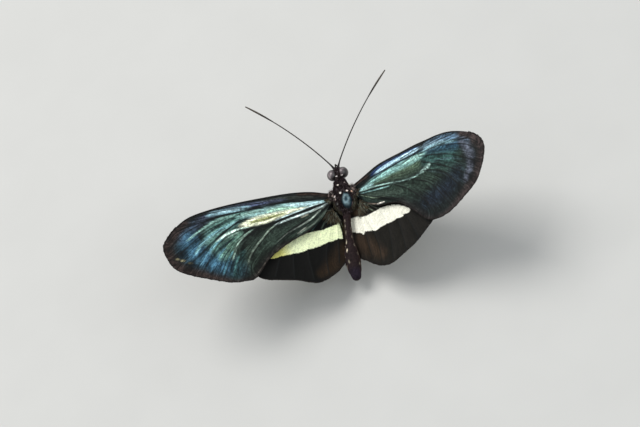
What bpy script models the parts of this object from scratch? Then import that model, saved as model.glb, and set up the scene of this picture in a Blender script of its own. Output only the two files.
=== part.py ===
"""Chestertonii longwing butterfly at life size, wings raised in a shallow V, standing on four legs.

World frame: metres, +X to the insect's right, +Y towards its head, +Z up. The floor is Z = 0 and the
origin lies under the middle of the bounding box. The body, head and wings are drawn in a body frame,
whose origin is inside the thorax at the height of its axis, and which stands nose up on the legs.
Sizes are written in millimetres and turned into metres by MM.
"""

import math

import bmesh
import bpy
import numpy as np
from mathutils import Matrix, Vector
from mathutils.geometry import delaunay_2d_cdt

MM = 0.001
GAP = 0.3  # left between two pieces that meet, mm

# Stance of the body frame in the world
THORAX_SHIFT = Vector((1.59, 0.7, 7.6))  # mm, puts the origin under the middle of the whole insect
BODY_PITCH = 8.0  # degrees, nose up

# Thorax: the wing-bearing barrel, the narrow part behind the head, and the shield at the back
THORAX_CENTRE = Vector((0.0, -0.35, 0.0))
THORAX_SEMI = Vector((2.15, 3.35, 2.45))
THORAX_REAR = -3.3
THORAX_FRONT = 3.3
PROTHORAX_CENTRE = Vector((0.0, 2.5, 0.6))
PROTHORAX_SEMI = Vector((1.2, 1.3, 1.35))
SCUTELLUM_CENTRE = Vector((0.0, -2.2, 1.25))
SCUTELLUM_SEMI = Vector((0.95, 0.85, 0.75))
TEGULA_CENTRE = Vector((1.4, 2.1, 1.25))
TEGULA_SEMI = Vector((0.5, 0.9, 0.5))

# Head: a short capsule between two domed eyes
HEAD_CENTRE = Vector((0.0, 4.8, 1.0))
HEAD_SEMI = Vector((1.5, 1.35, 1.35))
HEAD_REAR = THORAX_FRONT + GAP
HEAD_HALF_WIDTH = 0.8  # the flat each eye sits on
EYE_SEMI = Vector((1.08, 1.1, 1.18))
EYE_CENTRE_X = {"left": 1.15, "right": 0.98}  # the head is turned a little to its right
EYE_FLAT = HEAD_HALF_WIDTH + GAP

# Abdomen: a slim club, thickest two thirds of the way back, bent a little left and down
ABDOMEN_START = Vector((-0.3, THORAX_REAR - GAP, -0.1))
ABDOMEN_TIP = Vector((-1.45, -17.2, -1.5))
ABDOMEN_SWING = 2.0  # power of the bend to the left, which is done early
ABDOMEN_SAG = 1.5  # power of the bend downward, which comes late
ABDOMEN_DEPTH = 1.1  # height over width
ABDOMEN_SEGMENTS = 8
ABDOMEN_FURROW = 0.05  # how far each joint between segments is drawn in, of the radius
ABDOMEN_RADII = (
    (0.0, 0.72), (0.15, 0.66), (0.3, 0.7), (0.43, 0.82), (0.54, 1.12), (0.66, 1.38),
    (0.78, 1.34), (0.89, 1.06), (0.97, 0.66), (1.0, 0.3),
)

# Antennae: thin shafts that end in a slim club
ANTENNA_SEAT = Vector((0.3, 0.75, 0.6))  # direction of the socket from the head's centre, right side
ANTENNA_REACH = {"left": Vector((-12.7, 13.9, 8.0)), "right": Vector((14.1, 12.3, 8.0))}
ANTENNA_BOW = 0.75  # how far the middle bows inward
ANTENNA_RADIUS = 0.25
ANTENNA_CLUB_RADIUS = 0.36
ANTENNA_CLUB_START = 0.76  # of the length
ANTENNA_RINGS = 20

# Palps and coiled tongue
PALP_SEAT = Vector((0.42, 0.85, -0.3))
PALP_KNEE = Vector((0.76, 6.62, 0.58))
PALP_BEND = Vector((0.62, 6.95, 1.08))
PALP_TIP = Vector((0.42, 6.92, 1.65))
PALP_RADIUS = 0.26
PALP_STEP = 0.38
COIL_CENTRE = Vector((0.0, 5.5, -1.72))
COIL_OUTER = 0.92
COIL_INNER = 0.3
COIL_TURNS = 1.2
COIL_START = 115.0  # degrees round from straight ahead, where the tongue leaves the head
COIL_RADIUS = 0.21
COIL_TAPER = 0.35  # of its radius, lost by the inner end
COIL_RINGS = 22

# Wings: two parallel sheets on each side, the hindwing one step below the forewing
HINGE = Vector((2.4, 0.6, 0.8))  # right forewing hinge
WING_RAISE = {"left": 26.8, "right": 34.2}  # degrees above the body's own level
WING_PITCH = {"left": -0.1, "right": -2.6}  # degrees, leading edge up
FOREWING_SWEEP = {"left": 0.0, "right": -2.6}  # degrees, forward is positive
HINDWING_SWEEP = {"left": -4.0, "right": -8.0}
FOREWING_SPREAD = {"left": (1.0, 1.0), "right": (0.98, 0.99)}  # scale of the veins, outward and forward
HINDWING_SPREAD = {"left": (1.0, 0.96), "right": (0.985, 1.02)}
WING_STEP = 1.15  # hindwing below forewing
HINDWING_BACK = 2.2  # hindwing hinge behind the forewing hinge
MEMBRANE = 0.5
WING_CAMBER = 0.3  # rise of the middle of the span over the straight line
CAMBER_SPAN = 36.0
VEIN_HEIGHT = 0.14
VEIN_HALF_WIDTH = 0.32
MARGIN_STEP = 1.3
VEIN_STEP = 1.7
SHEET_STEP = 2.3
SHEET_CLEARANCE = 0.55  # of a sheet step, kept between its points and the veins and the border
ROOT_PARTS = 5  # stretches in the edge beside the thorax
ROOT_SEARCH = (-4.0, 0.02)  # where the search for that edge starts, and its step

# Wing outlines from the front of the root round the tip to the back of the root, mm outward and forward
FOREWING_MARGIN = {
    "left": (
        (0.4, 0.8), (3.8, 1.35), (8.0, 1.3), (14.0, 0.55), (20.0, -0.4), (25.0, -1.5), (29.0, -2.9),
        (32.1, -5.3), (34.2, -8.0), (34.6, -9.6), (34.2, -11.6), (33.2, -13.7), (31.0, -15.2),
        (26.9, -16.6), (23.2, -17.6), (20.6, -17.6), (17.9, -16.9), (14.6, -13.0), (10.0, -9.7),
        (5.7, -7.4), (2.4, -4.6), (0.5, -1.9),
    ),
    "right": (
        (0.4, 1.15), (2.6, 1.35), (6.5, 1.65), (9.2, 1.45), (13.6, 0.8), (17.4, 0.3), (20.3, -0.25),
        (23.1, -0.75), (25.9, -1.55), (28.6, -2.85), (31.7, -4.9), (33.6, -7.0), (34.25, -9.2),
        (33.6, -11.4), (32.3, -13.5), (30.7, -15.2), (27.4, -16.5), (24.0, -17.5), (21.6, -17.6),
        (18.9, -17.0), (17.0, -15.8), (15.0, -13.4), (11.7, -9.7), (9.1, -8.1), (5.0, -6.5),
        (2.5, -4.5), (0.3, -1.9),
    ),
}
FOREWING_VEINS = {
    "subcosta": ((0.9, 0.3), (8.0, 0.6), (14.0, 0.2), (19.6, -0.7)),
    "radius": ((0.8, -0.1), (6.2, -0.3), (12.1, -0.4), (16.2, -1.3), (18.4, -2.3)),
    "radius_1": ((13.6, -0.7), (18.0, -1.0), (24.6, -1.7)),
    "radius_2": ((17.0, -1.6), (22.0, -1.9), (28.3, -3.0)),
    "radius_3": ((18.4, -2.3), (25.0, -3.5), (30.8, -4.8)),
    "radius_4": ((27.6, -4.1), (31.5, -5.9), (33.5, -7.9)),
    "radius_5": ((24.0, -3.4), (30.0, -6.3), (33.8, -9.8)),
    "media_1": ((18.5, -2.8), (26.0, -6.4), (33.2, -12.0)),
    "cell_end": ((18.4, -2.3), (18.9, -4.2), (19.0, -6.2)),
    "media_2": ((18.9, -4.2), (25.0, -8.6), (31.3, -14.2)),
    "media_3": ((19.0, -6.2), (23.6, -8.9), (28.4, -15.5)),
    "cubitus": ((0.9, -0.8), (4.7, -2.6), (11.1, -5.2), (14.8, -6.1), (19.0, -6.2)),
    "cubitus_1": ((15.5, -6.2), (20.3, -9.8), (24.4, -16.8)),
    "cubitus_2": ((11.1, -5.2), (15.4, -9.0), (18.5, -12.9), (20.4, -17.1)),
    "anal": ((0.9, -1.4), (3.8, -3.7), (8.5, -6.6), (13.0, -10.2), (17.0, -14.8)),
}
HINDWING_MARGIN = {
    "left": (
        (-0.3, 0.9), (2.5, 2.5), (7.0, 3.0), (12.0, 2.1), (16.5, -0.6), (19.3, -4.0), (20.2, -7.5),
        (19.3, -11.3), (17.5, -13.4), (14.4, -14.1), (11.2, -14.6), (8.4, -15.5), (6.4, -15.6),
        (3.4, -14.3), (1.2, -12.6), (0.45, -9.8), (0.0, -6.1), (0.0, -3.9), (-1.3, -1.9),
    ),
    "right": (
        (-0.3, 1.0), (2.5, 2.7), (6.9, 3.2), (11.8, 2.2), (16.3, -0.6), (19.0, -4.2), (20.0, -8.5),
        (19.2, -12.0), (17.3, -13.3), (14.0, -14.9), (11.0, -15.6), (8.3, -16.2), (6.1, -16.2),
        (3.4, -15.2), (0.8, -13.4), (-1.65, -10.4), (-2.75, -6.6), (-2.5, -4.2), (-1.3, -2.0),
    ),
}
HINDWING_VEINS = {
    "subcosta": ((0.1, 0.6), (5.0, 1.7), (12.0, 0.8), (18.1, -3.2)),
    "radius": ((0.2, 0.1), (5.0, 0.1), (9.3, -1.3), (14.0, -2.8), (19.3, -6.6)),
    "media_1": ((9.3, -1.3), (15.0, -4.9), (19.4, -9.8)),
    "cell_end": ((9.3, -1.3), (9.1, -2.8), (8.9, -4.1)),
    "media_2": ((9.2, -2.7), (14.5, -7.2), (18.0, -12.0)),
    "media_3": ((8.9, -4.1), (12.5, -8.7), (15.1, -13.8)),
    "cubitus": ((0.1, -0.5), (3.0, -2.6), (5.6, -3.7), (8.9, -4.1)),
    "cubitus_1": ((7.9, -4.1), (10.2, -9.0), (11.5, -14.7)),
    "cubitus_2": ((5.4, -3.7), (7.3, -9.0), (7.8, -15.4)),
    "anal_2": ((-0.1, -1.0), (2.2, -6.0), (4.0, -10.5), (4.6, -14.7)),
    "anal_3": ((-0.4, -1.5), (0.5, -6.0), (1.2, -9.5), (1.9, -12.4)),
}

# Legs, right side: seat direction on the thorax, then knee, ankle and tip in the world with the thorax
# centre's x and y as zero. The last stretch, the foot, lies on the floor.
WALKING_LEGS = {
    "midleg": (Vector((0.35, 0.3, -0.9)), (4.3, 2.2, 5.3), (6.3, 3.9, 0.75), (8.4, 5.7)),
    "hindleg": (Vector((0.35, -0.35, -0.9)), (4.2, -3.4, 5.1), (6.0, -6.0, 0.75), (7.6, -8.6)),
}
COXA_LENGTH = 0.8
COXA_RADIUS = 0.5
FEMUR_RADIUS = 0.42
TIBIA_RADIUS = 0.3
FOOT_RADIUS = 0.27
FORELEG_SEAT = Vector((0.35, 0.75, -0.65))
FORELEG_KNEE = Vector((1.1, 3.2, -3.1))
FORELEG_TIP = Vector((0.75, 4.6, -1.1))
FORELEG_RADIUS = 0.27
FORELEG_STEP = 0.6
LEG_SIDES = 8

# Shares of a leg part's length, and of its radius there
FEMUR_PROFILE = ((0.12, 0.8), (0.4, 1.0), (0.75, 0.9), (0.95, 0.8))
TIBIA_PROFILE = ((0.03, 1.05), (0.3, 1.0), (0.7, 0.95), (0.97, 0.95))
FOOT_PROFILE = ((0.0, 1.0), (0.33, 1.0), (0.66, 1.0), (0.92, 1.0), (1.0, 0.6))
HEEL_SHARE = 0.28  # of the way from ankle to toe, where the foot comes down to the floor

SIDES = {"left": -1.0, "right": 1.0}

COLOURS = {  # base colour, roughness
    "cuticle": ((0.020, 0.016, 0.014, 1.0), 0.55),
    "eye": ((0.055, 0.040, 0.050, 1.0), 0.18),
    "forewing": ((0.030, 0.075, 0.095, 1.0), 0.42),
    "hindwing": ((0.014, 0.013, 0.012, 1.0), 0.6),
    "leg": ((0.035, 0.028, 0.024, 1.0), 0.5),
}


def clear_scene():
    """Removes what the file opened with."""
    for old in list(bpy.data.objects):
        bpy.data.objects.remove(old, do_unlink=True)


def material(name, finish):
    """A Principled material in one of the named colours."""
    colour, roughness = COLOURS[finish]
    made = bpy.data.materials.new(name)
    made.use_nodes = True
    shader = made.node_tree.nodes["Principled BSDF"]
    shader.inputs["Base Color"].default_value = colour
    shader.inputs["Roughness"].default_value = roughness
    made.diffuse_color = colour
    return made


def add_object(name, mesh_data, finish, parent=None):
    """Links a mesh as one named object, shaded smooth away from its sharp edges."""
    made = bpy.data.objects.new(name, mesh_data)
    PARTS.objects.link(made)
    made.parent = parent
    mesh_data.materials.append(material(f"{name}_material", finish))
    mesh_data.shade_smooth()
    mesh_data.set_sharp_from_angle(angle=math.radians(40.0))
    return made


def mesh_from(name, verts, faces):
    """A mesh from millimetre points and faces, its faces turned outward."""
    made = bpy.data.meshes.new(name)
    made.from_pydata([tuple(Vector(v) * MM) for v in verts], [], faces)
    shaped = bmesh.new()
    shaped.from_mesh(made)
    bmesh.ops.recalc_face_normals(shaped, faces=shaped.faces)
    shaped.to_mesh(made)
    shaped.free()
    return made


def spline(points, step):
    """Points about a step apart on the Catmull-Rom curve through the given ones."""
    knots = [Vector(p) for p in points]
    ends = [2.0 * knots[0] - knots[1]] + knots + [2.0 * knots[-1] - knots[-2]]
    out = [knots[0]]
    for k in range(1, len(ends) - 2):
        before, start, end, after = ends[k - 1 : k + 3]
        pieces = max(1, round((end - start).length / step))
        for i in range(1, pieces + 1):
            t = i / pieces
            out.append(
                0.5 * (2.0 * start + (end - before) * t
                       + (2.0 * before - 5.0 * start + 4.0 * end - after) * t ** 2
                       + (3.0 * start - before - 3.0 * end + after) * t ** 3)
            )
    return out


def ellipsoid(name, centre, semi, segments=24, rings=14):
    """A closed ellipsoid as a bmesh sphere, scaled and moved, in millimetres of the body frame."""
    shaped = bmesh.new()
    bmesh.ops.create_uvsphere(shaped, u_segments=segments, v_segments=rings, radius=MM)
    place = Matrix.Translation(centre * MM) @ Matrix.Diagonal((*semi, 1.0))
    bmesh.ops.transform(shaped, matrix=place, verts=shaped.verts)
    made = bpy.data.meshes.new(name)
    shaped.to_mesh(made)
    shaped.free()
    return made


def cut_flat(mesh_data, point, normal):
    """Takes away what lies beyond a plane and closes the cut with a flat face."""
    shaped = bmesh.new()
    shaped.from_mesh(mesh_data)
    everything = shaped.verts[:] + shaped.edges[:] + shaped.faces[:]
    cut = bmesh.ops.bisect_plane(
        shaped, geom=everything, dist=1e-7, plane_co=Vector(point) * MM, plane_no=normal, clear_outer=True
    )
    rim = [e for e in cut["geom_cut"] if isinstance(e, bmesh.types.BMEdge)]
    bmesh.ops.holes_fill(shaped, edges=rim, sides=0)
    bmesh.ops.recalc_face_normals(shaped, faces=shaped.faces)
    shaped.to_mesh(mesh_data)
    shaped.free()


def united(name, meshes):
    """One closed mesh from several that overlap, by a Boolean union on a collection."""
    cutters = bpy.data.collections.new(f"{name}_pieces")
    bpy.context.scene.collection.children.link(cutters)
    base = bpy.data.objects.new(f"{name}_base", meshes[0])
    bpy.context.scene.collection.objects.link(base)
    for k, extra in enumerate(meshes[1:]):
        cutters.objects.link(bpy.data.objects.new(f"{name}_piece_{k}", extra))
    joining = base.modifiers.new("join", "BOOLEAN")
    joining.operation = "UNION"
    joining.operand_type = "COLLECTION"
    joining.collection = cutters
    joining.solver = "EXACT"
    bpy.context.view_layer.update()
    solid = bpy.data.meshes.new_from_object(base.evaluated_get(bpy.context.evaluated_depsgraph_get()))
    for done in [base] + list(cutters.objects):
        bpy.data.objects.remove(done, do_unlink=True)
    bpy.data.collections.remove(cutters)
    solid.name = name
    solid.materials.clear()
    return solid


def tube(name, points, radii, sides=LEG_SIDES, depth=1.0, first=None, level_from=None):
    """A round, closed tube along a path. first is the direction its first ring faces, and from the
    ring numbered level_from on the tube lies level, with a flat facet underneath."""
    path = [Vector(p) for p in points]
    verts = []
    for k, centre in enumerate(path):
        ahead = (path[min(k + 1, len(path) - 1)] - path[max(k - 1, 0)]).normalized()
        if k == 0 and first is not None:
            ahead = first.normalized()
        if level_from is not None and k >= level_from:
            ahead = Vector((ahead.x, ahead.y, 0.0)).normalized()
        across = ahead.cross(Vector((0.0, 0.0, 1.0))).normalized()
        up = across.cross(ahead)
        for s in range(sides):
            turn = 2.0 * math.pi * (s + 0.5) / sides
            verts.append(centre + radii[k] * (math.cos(turn) * across + depth * math.sin(turn) * up))
    faces = [tuple(range(sides))]
    for k in range(len(path) - 1):
        for s in range(sides):
            a, b = k * sides + s, k * sides + (s + 1) % sides
            faces.append((a, b, b + sides, a + sides))
    faces.append(tuple(range((len(path) - 1) * sides, len(path) * sides)))
    return mesh_from(name, verts, faces)


def seat(centre, semi, direction, side):
    """The point GAP off an ellipsoid's surface in a direction, mirrored to a side, and its normal."""
    toward = Vector((direction.x * side, direction.y, direction.z)).normalized()
    point = centre + Vector((semi.x * toward.x, semi.y * toward.y, semi.z * toward.z))
    normal = Vector((toward.x / semi.x, toward.y / semi.y, toward.z / semi.z)).normalized()
    return point + GAP * normal, normal


def mirrored(point, side):
    """A right-side point on the given side."""
    return Vector((point.x * side, point.y, point.z))


def make_thorax(body):
    """Barrel, prothorax, scutellum and the two tegulae over the wing roots, as one shell."""
    pieces = [
        ellipsoid("barrel", THORAX_CENTRE, THORAX_SEMI, 32, 20),
        ellipsoid("prothorax", PROTHORAX_CENTRE, PROTHORAX_SEMI, 20, 12),
        ellipsoid("scutellum", SCUTELLUM_CENTRE, SCUTELLUM_SEMI, 16, 10),
    ]
    for side in SIDES.values():
        pieces.append(ellipsoid("tegula", mirrored(TEGULA_CENTRE, side), TEGULA_SEMI, 14, 8))
    solid = united("thorax", pieces)
    cut_flat(solid, (0.0, THORAX_FRONT, 0.0), (0.0, 1.0, 0.0))
    cut_flat(solid, (0.0, THORAX_REAR, 0.0), (0.0, -1.0, 0.0))
    return add_object("thorax", solid, "cuticle", body)


def make_head(body):
    """The head's capsule, flat at the back and under each eye, and the two domed eyes."""
    capsule = ellipsoid("head", HEAD_CENTRE, HEAD_SEMI)
    cut_flat(capsule, (0.0, HEAD_REAR, 0.0), (0.0, -1.0, 0.0))
    for side in SIDES.values():
        cut_flat(capsule, (side * HEAD_HALF_WIDTH, 0.0, 0.0), (side, 0.0, 0.0))
    add_object("head", capsule, "cuticle", body)
    for label, side in SIDES.items():
        centre = Vector((side * EYE_CENTRE_X[label], HEAD_CENTRE.y, HEAD_CENTRE.z))
        dome = ellipsoid(f"eye_{label}", centre, EYE_SEMI, 22, 14)
        cut_flat(dome, (side * EYE_FLAT, 0.0, 0.0), (-side, 0.0, 0.0))
        add_object(f"eye_{label}", dome, "eye", body)


def make_mouthparts(body):
    """Upturned palps beside a coiled tongue."""
    for label, side in SIDES.items():
        start, normal = seat(HEAD_CENTRE, HEAD_SEMI, PALP_SEAT, side)
        path = spline([start] + [mirrored(p, side) for p in (PALP_KNEE, PALP_BEND, PALP_TIP)], PALP_STEP)
        last = len(path) - 1
        radii = [PALP_RADIUS * math.sqrt(max(0.2, 1.0 - (k / last) ** 3)) for k in range(last + 1)]
        add_object(f"palp_{label}", tube(f"palp_{label}", path, radii, first=normal), "cuticle", body)
    path = []
    radii = []
    for k in range(COIL_RINGS):
        t = k / (COIL_RINGS - 1)
        turn = math.radians(COIL_START) - 2.0 * math.pi * COIL_TURNS * t
        reach = COIL_OUTER + (COIL_INNER - COIL_OUTER) * t
        path.append(COIL_CENTRE + reach * Vector((0.0, math.cos(turn), math.sin(turn))))
        radii.append(COIL_RADIUS * (1.0 - COIL_TAPER * t))
    coil = sideways_tube("proboscis", path, radii)
    add_object("proboscis", coil, "cuticle", body)


def sideways_tube(name, path, radii, sides=LEG_SIDES):
    """A round tube along a path that stays in a plane across X, whose rings keep X as one axis."""
    verts = []
    across = Vector((1.0, 0.0, 0.0))
    for k, centre in enumerate(path):
        ahead = (path[min(k + 1, len(path) - 1)] - path[max(k - 1, 0)]).normalized()
        up = across.cross(ahead)
        for s in range(sides):
            turn = 2.0 * math.pi * s / sides
            verts.append(centre + radii[k] * (math.cos(turn) * across + math.sin(turn) * up))
    faces = [tuple(range(sides))]
    for k in range(len(path) - 1):
        for s in range(sides):
            a, b = k * sides + s, k * sides + (s + 1) % sides
            faces.append((a, b, b + sides, a + sides))
    faces.append(tuple(range((len(path) - 1) * sides, len(path) * sides)))
    return mesh_from(name, verts, faces)


def make_antennae(body):
    """Two bowed shafts from sockets on the front of the head, each thickening to a club."""
    for label, side in SIDES.items():
        start, normal = seat(HEAD_CENTRE, HEAD_SEMI, ANTENNA_SEAT, side)
        reach = ANTENNA_REACH[label]
        inward = reach * (side * reach.x / reach.length_squared) - Vector((side, 0.0, 0.0))
        path = []
        radii = []
        for k in range(ANTENNA_RINGS):
            t = k / (ANTENNA_RINGS - 1)
            path.append(start + t * reach + ANTENNA_BOW * 4.0 * t * (1.0 - t) * inward.normalized())
            club = max(0.0, (t - ANTENNA_CLUB_START) / (1.0 - ANTENNA_CLUB_START))
            swell = math.sin(math.pi * min(1.0, club ** 0.8))
            tip = 1.0 - 0.55 * club ** 6
            radii.append((ANTENNA_RADIUS + (ANTENNA_CLUB_RADIUS - ANTENNA_RADIUS) * swell) * tip)
        add_object(f"antenna_{label}", tube(f"antenna_{label}", path, radii, first=normal), "cuticle", body)


def make_abdomen(body):
    """A club of overlapping segments along a path that bends left and down."""
    rings_per_segment = 3
    count = ABDOMEN_SEGMENTS * rings_per_segment
    stations, widths = zip(*ABDOMEN_RADII)
    path = []
    radii = []
    for k in range(count + 1):
        t = k / count
        aside = 1.0 - (1.0 - t) ** ABDOMEN_SWING
        down = t ** ABDOMEN_SAG
        run = ABDOMEN_TIP - ABDOMEN_START
        path.append(ABDOMEN_START + Vector((run.x * aside, run.y * t, run.z * down)))
        furrow = ABDOMEN_FURROW if 0 < k < count and k % rings_per_segment == 0 else 0.0
        radii.append(float(np.interp(t, stations, widths)) * (1.0 - furrow))
    solid = tube("abdomen", path, radii, 16, ABDOMEN_DEPTH, Vector((0.0, -1.0, 0.0)))
    add_object("abdomen", solid, "cuticle", body)


def camber(x):
    """Height of the wing's sheet over its plane, x mm outward of the forewing hinge."""
    return WING_CAMBER * math.sin(math.pi * min(1.0, max(0.0, x / CAMBER_SPAN)))


def vein_rise(point, lines):
    """Height of the ridges at a point: a roof over each vein's line."""
    nearest = min(
        (point - a - (b - a) * min(1.0, max(0.0, (point - a).dot(b - a) / (b - a).length_squared))).length
        for line in lines for a, b in zip(line, line[1:])
    )
    return VEIN_HEIGHT * max(0.0, 1.0 - nearest / VEIN_HALF_WIDTH)


def beside(line, distance):
    """A line moved sideways by a distance."""
    out = []
    for k, p in enumerate(line):
        along = (line[min(k + 1, len(line) - 1)] - line[max(k - 1, 0)]).normalized()
        out.append(p + distance * Vector((-along.y, along.x)))
    return out


def root_edge(front, back, to_body):
    """Points that follow the thorax at GAP, from the back of a wing's root to its front."""
    out = []
    for k in range(ROOT_PARTS + 1):
        y = back.y + (front.y - back.y) * k / ROOT_PARTS
        x, step = ROOT_SEARCH
        while clear_of_thorax(to_body, x, y) < 0.0:
            x += step
        out.append(Vector((x, y)))
    return out


def clear_of_thorax(to_body, x, y):
    """How far outside the thorax, grown by GAP, both faces of the sheet at (x, y) are. Below 0 is inside."""
    grown = THORAX_SEMI + Vector((GAP, GAP, GAP))
    worst = math.inf
    for z in (-MEMBRANE / 2.0 - VEIN_HEIGHT, MEMBRANE / 2.0 + VEIN_HEIGHT):
        p = to_body @ Vector((x, y, z)) - THORAX_CENTRE
        worst = min(worst, (p.x / grown.x) ** 2 + (p.y / grown.y) ** 2 + (p.z / grown.z) ** 2 - 1.0)
    return worst


def make_wing(body, kind, label, margin, veins, sweep, vein_spread, back=0.0, drop=0.0):
    """One wing: margin and vein lines in one triangulation, given to both faces of the sheet."""
    side = SIDES[label]
    outward, forward = vein_spread
    hinge = Vector((side * HINGE.x, HINGE.y, HINGE.z))
    tilt = Matrix.Rotation(math.radians(-side * WING_RAISE[label]), 4, "Y")
    tilt = tilt @ Matrix.Rotation(math.radians(WING_PITCH[label]), 4, "X")
    place = Matrix.Translation(hinge) @ tilt @ Matrix.Translation((0.0, -back, -drop))
    place = place @ Matrix.Rotation(math.radians(side * sweep), 4, "Z")
    mirror = Matrix.Diagonal((side, 1.0, 1.0, 1.0))

    free = spline(margin, MARGIN_STEP)
    root = root_edge(free[0], free[-1], place @ mirror)
    border = free + root[1:-1]
    lines = [spline([(x * outward, y * forward) for x, y in points], VEIN_STEP) for points in veins.values()]

    points = list(border)
    edges = [(k, (k + 1) % len(border)) for k in range(len(border))]
    for line in lines:
        for track in (line, beside(line, VEIN_HALF_WIDTH), beside(line, -VEIN_HALF_WIDTH)):
            start = len(points)
            points.extend(track)
            edges.extend((k, k + 1) for k in range(start, start + len(track) - 1))
    points.extend(sheet_points(border, lines))
    flat, _, triangles, _, _, _ = delaunay_2d_cdt(points, edges, [], 1, 0.02)

    # Sheet camber is read in forewing coordinates, so both wings of a side stay parallel
    turn = math.radians(sweep)
    top = []
    bottom = []
    for p in flat:
        in_plane_x = p.x * math.cos(turn) - p.y * math.sin(turn)
        middle = camber(in_plane_x)
        rise = vein_rise(p, lines)
        top.append((side * p.x, p.y, middle + MEMBRANE / 2.0 + rise))
        bottom.append((side * p.x, p.y, middle - MEMBRANE / 2.0 - rise))
    count = len(flat)
    faces = [tuple(t) for t in triangles] + [tuple(count + i for i in reversed(t)) for t in triangles]
    sides_of = {}
    for t in triangles:
        for a, b in zip(t, t[1:] + t[:1]):
            sides_of[(a, b)] = True
    for a, b in sides_of:
        if (b, a) not in sides_of:
            faces.append((b, a, count + a))
            faces.append((b, count + a, count + b))
    solid = mesh_from(f"{kind}_{label}", top + bottom, faces)
    made = add_object(f"{kind}_{label}", solid, kind, body)
    place.translation *= MM
    made.matrix_local = place
    return made


def sheet_points(border, lines):
    """A staggered grid of points inside the border, kept clear of it and of the veins."""
    clear = SHEET_STEP * SHEET_CLEARANCE
    xs = [p.x for p in border]
    ys = [p.y for p in border]
    out = []
    row = 0
    y = min(ys)
    while y < max(ys):
        x = min(xs) + (SHEET_STEP / 2.0 if row % 2 else 0.0)
        while x < max(xs):
            p = Vector((x, y))
            if inside(p, border) and away(p, [border + border[:1]] + lines, clear):
                out.append(p)
            x += SHEET_STEP
        y += SHEET_STEP * math.sqrt(3.0) / 2.0
        row += 1
    return out


def inside(p, border):
    """Whether a point is inside a closed outline."""
    hits = False
    for a, b in zip(border, border[1:] + border[:1]):
        if (a.y > p.y) != (b.y > p.y) and p.x < a.x + (b.x - a.x) * (p.y - a.y) / (b.y - a.y):
            hits = not hits
    return hits


def away(p, lines, distance):
    """Whether a point is at least a distance from every line."""
    for line in lines:
        for a, b in zip(line, line[1:]):
            t = min(1.0, max(0.0, (p - a).dot(b - a) / (b - a).length_squared))
            if (p - a - (b - a) * t).length < distance:
                return False
    return True


def make_legs(body):
    """Small folded forelegs, and four walking legs whose feet lie flat on the floor."""
    for label, side in SIDES.items():
        start, normal = seat(THORAX_CENTRE, THORAX_SEMI, FORELEG_SEAT, side)
        route = [start + 0.3 * normal, mirrored(FORELEG_KNEE, side), mirrored(FORELEG_TIP, side)]
        path = [start] + spline(route, FORELEG_STEP)
        radii = [FORELEG_RADIUS * (1.25 - 0.5 * k / (len(path) - 1)) for k in range(len(path))]
        solid = tube(f"foreleg_{label}", path, radii, first=normal)
        add_object(f"foreleg_{label}", solid, "leg", body)
    place = body_matrix()
    foot_height = FOOT_RADIUS * math.cos(math.pi / LEG_SIDES)
    for kind, (direction, knee, ankle, tip) in WALKING_LEGS.items():
        for label, side in SIDES.items():
            start, normal = seat(THORAX_CENTRE, THORAX_SEMI, direction, side)
            facing = place.to_3x3() @ normal
            hip = place @ start
            middle = Vector((THORAX_SHIFT.x, THORAX_SHIFT.y, 0.0))
            knee_at = middle + Vector((side * knee[0], knee[1], knee[2]))
            ankle_at = middle + Vector((side * ankle[0], ankle[1], ankle[2]))
            toe_at = middle + Vector((side * tip[0], tip[1], foot_height))
            heel_at = ankle_at.lerp(toe_at, HEEL_SHARE)
            heel_at.z = foot_height
            coxa = hip + COXA_LENGTH * facing
            path = [hip, coxa]
            radii = [COXA_RADIUS, COXA_RADIUS * 0.9]
            for t, radius in FEMUR_PROFILE:
                path.append(coxa.lerp(knee_at, t))
                radii.append(FEMUR_RADIUS * radius)
            for t, radius in TIBIA_PROFILE:
                path.append(knee_at.lerp(ankle_at, t))
                radii.append(TIBIA_RADIUS * radius)
            level_from = len(path)
            for t, radius in FOOT_PROFILE:
                path.append(heel_at.lerp(toe_at, t))
                radii.append(FOOT_RADIUS * radius)
            solid = tube(f"{kind}_{label}", path, radii, first=facing, level_from=level_from)
            add_object(f"{kind}_{label}", solid, "leg")


def body_matrix():
    """Body frame to world, in millimetres."""
    return Matrix.Translation(THORAX_SHIFT) @ Matrix.Rotation(math.radians(BODY_PITCH), 4, "X")


clear_scene()
PARTS = bpy.data.collections.new("chestertonii_longwing")
bpy.context.scene.collection.children.link(PARTS)
body_frame = bpy.data.objects.new("body_frame", None)
PARTS.objects.link(body_frame)
frame_matrix = body_matrix()
frame_matrix.translation *= MM
body_frame.matrix_world = frame_matrix

make_thorax(body_frame)
make_head(body_frame)
make_mouthparts(body_frame)
make_antennae(body_frame)
make_abdomen(body_frame)
for wing_side in SIDES:
    make_wing(body_frame, "forewing", wing_side, FOREWING_MARGIN[wing_side], FOREWING_VEINS,
              FOREWING_SWEEP[wing_side], FOREWING_SPREAD[wing_side])
    make_wing(body_frame, "hindwing", wing_side, HINDWING_MARGIN[wing_side], HINDWING_VEINS,
              HINDWING_SWEEP[wing_side], HINDWING_SPREAD[wing_side], back=HINDWING_BACK, drop=WING_STEP)
make_legs(body_frame)
bpy.context.view_layer.update()
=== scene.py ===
"""Looks of a life-size Chestertonii longwing butterfly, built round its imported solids.

Shapes are worked out in millimetres in the insect's body frame (+X right, +Y to the head, +Z out of its
back, origin inside the thorax) and then turned into the world's metres by to_world().
"""

import math

import bpy
import numpy as np
from mathutils import Matrix, Vector


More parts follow.
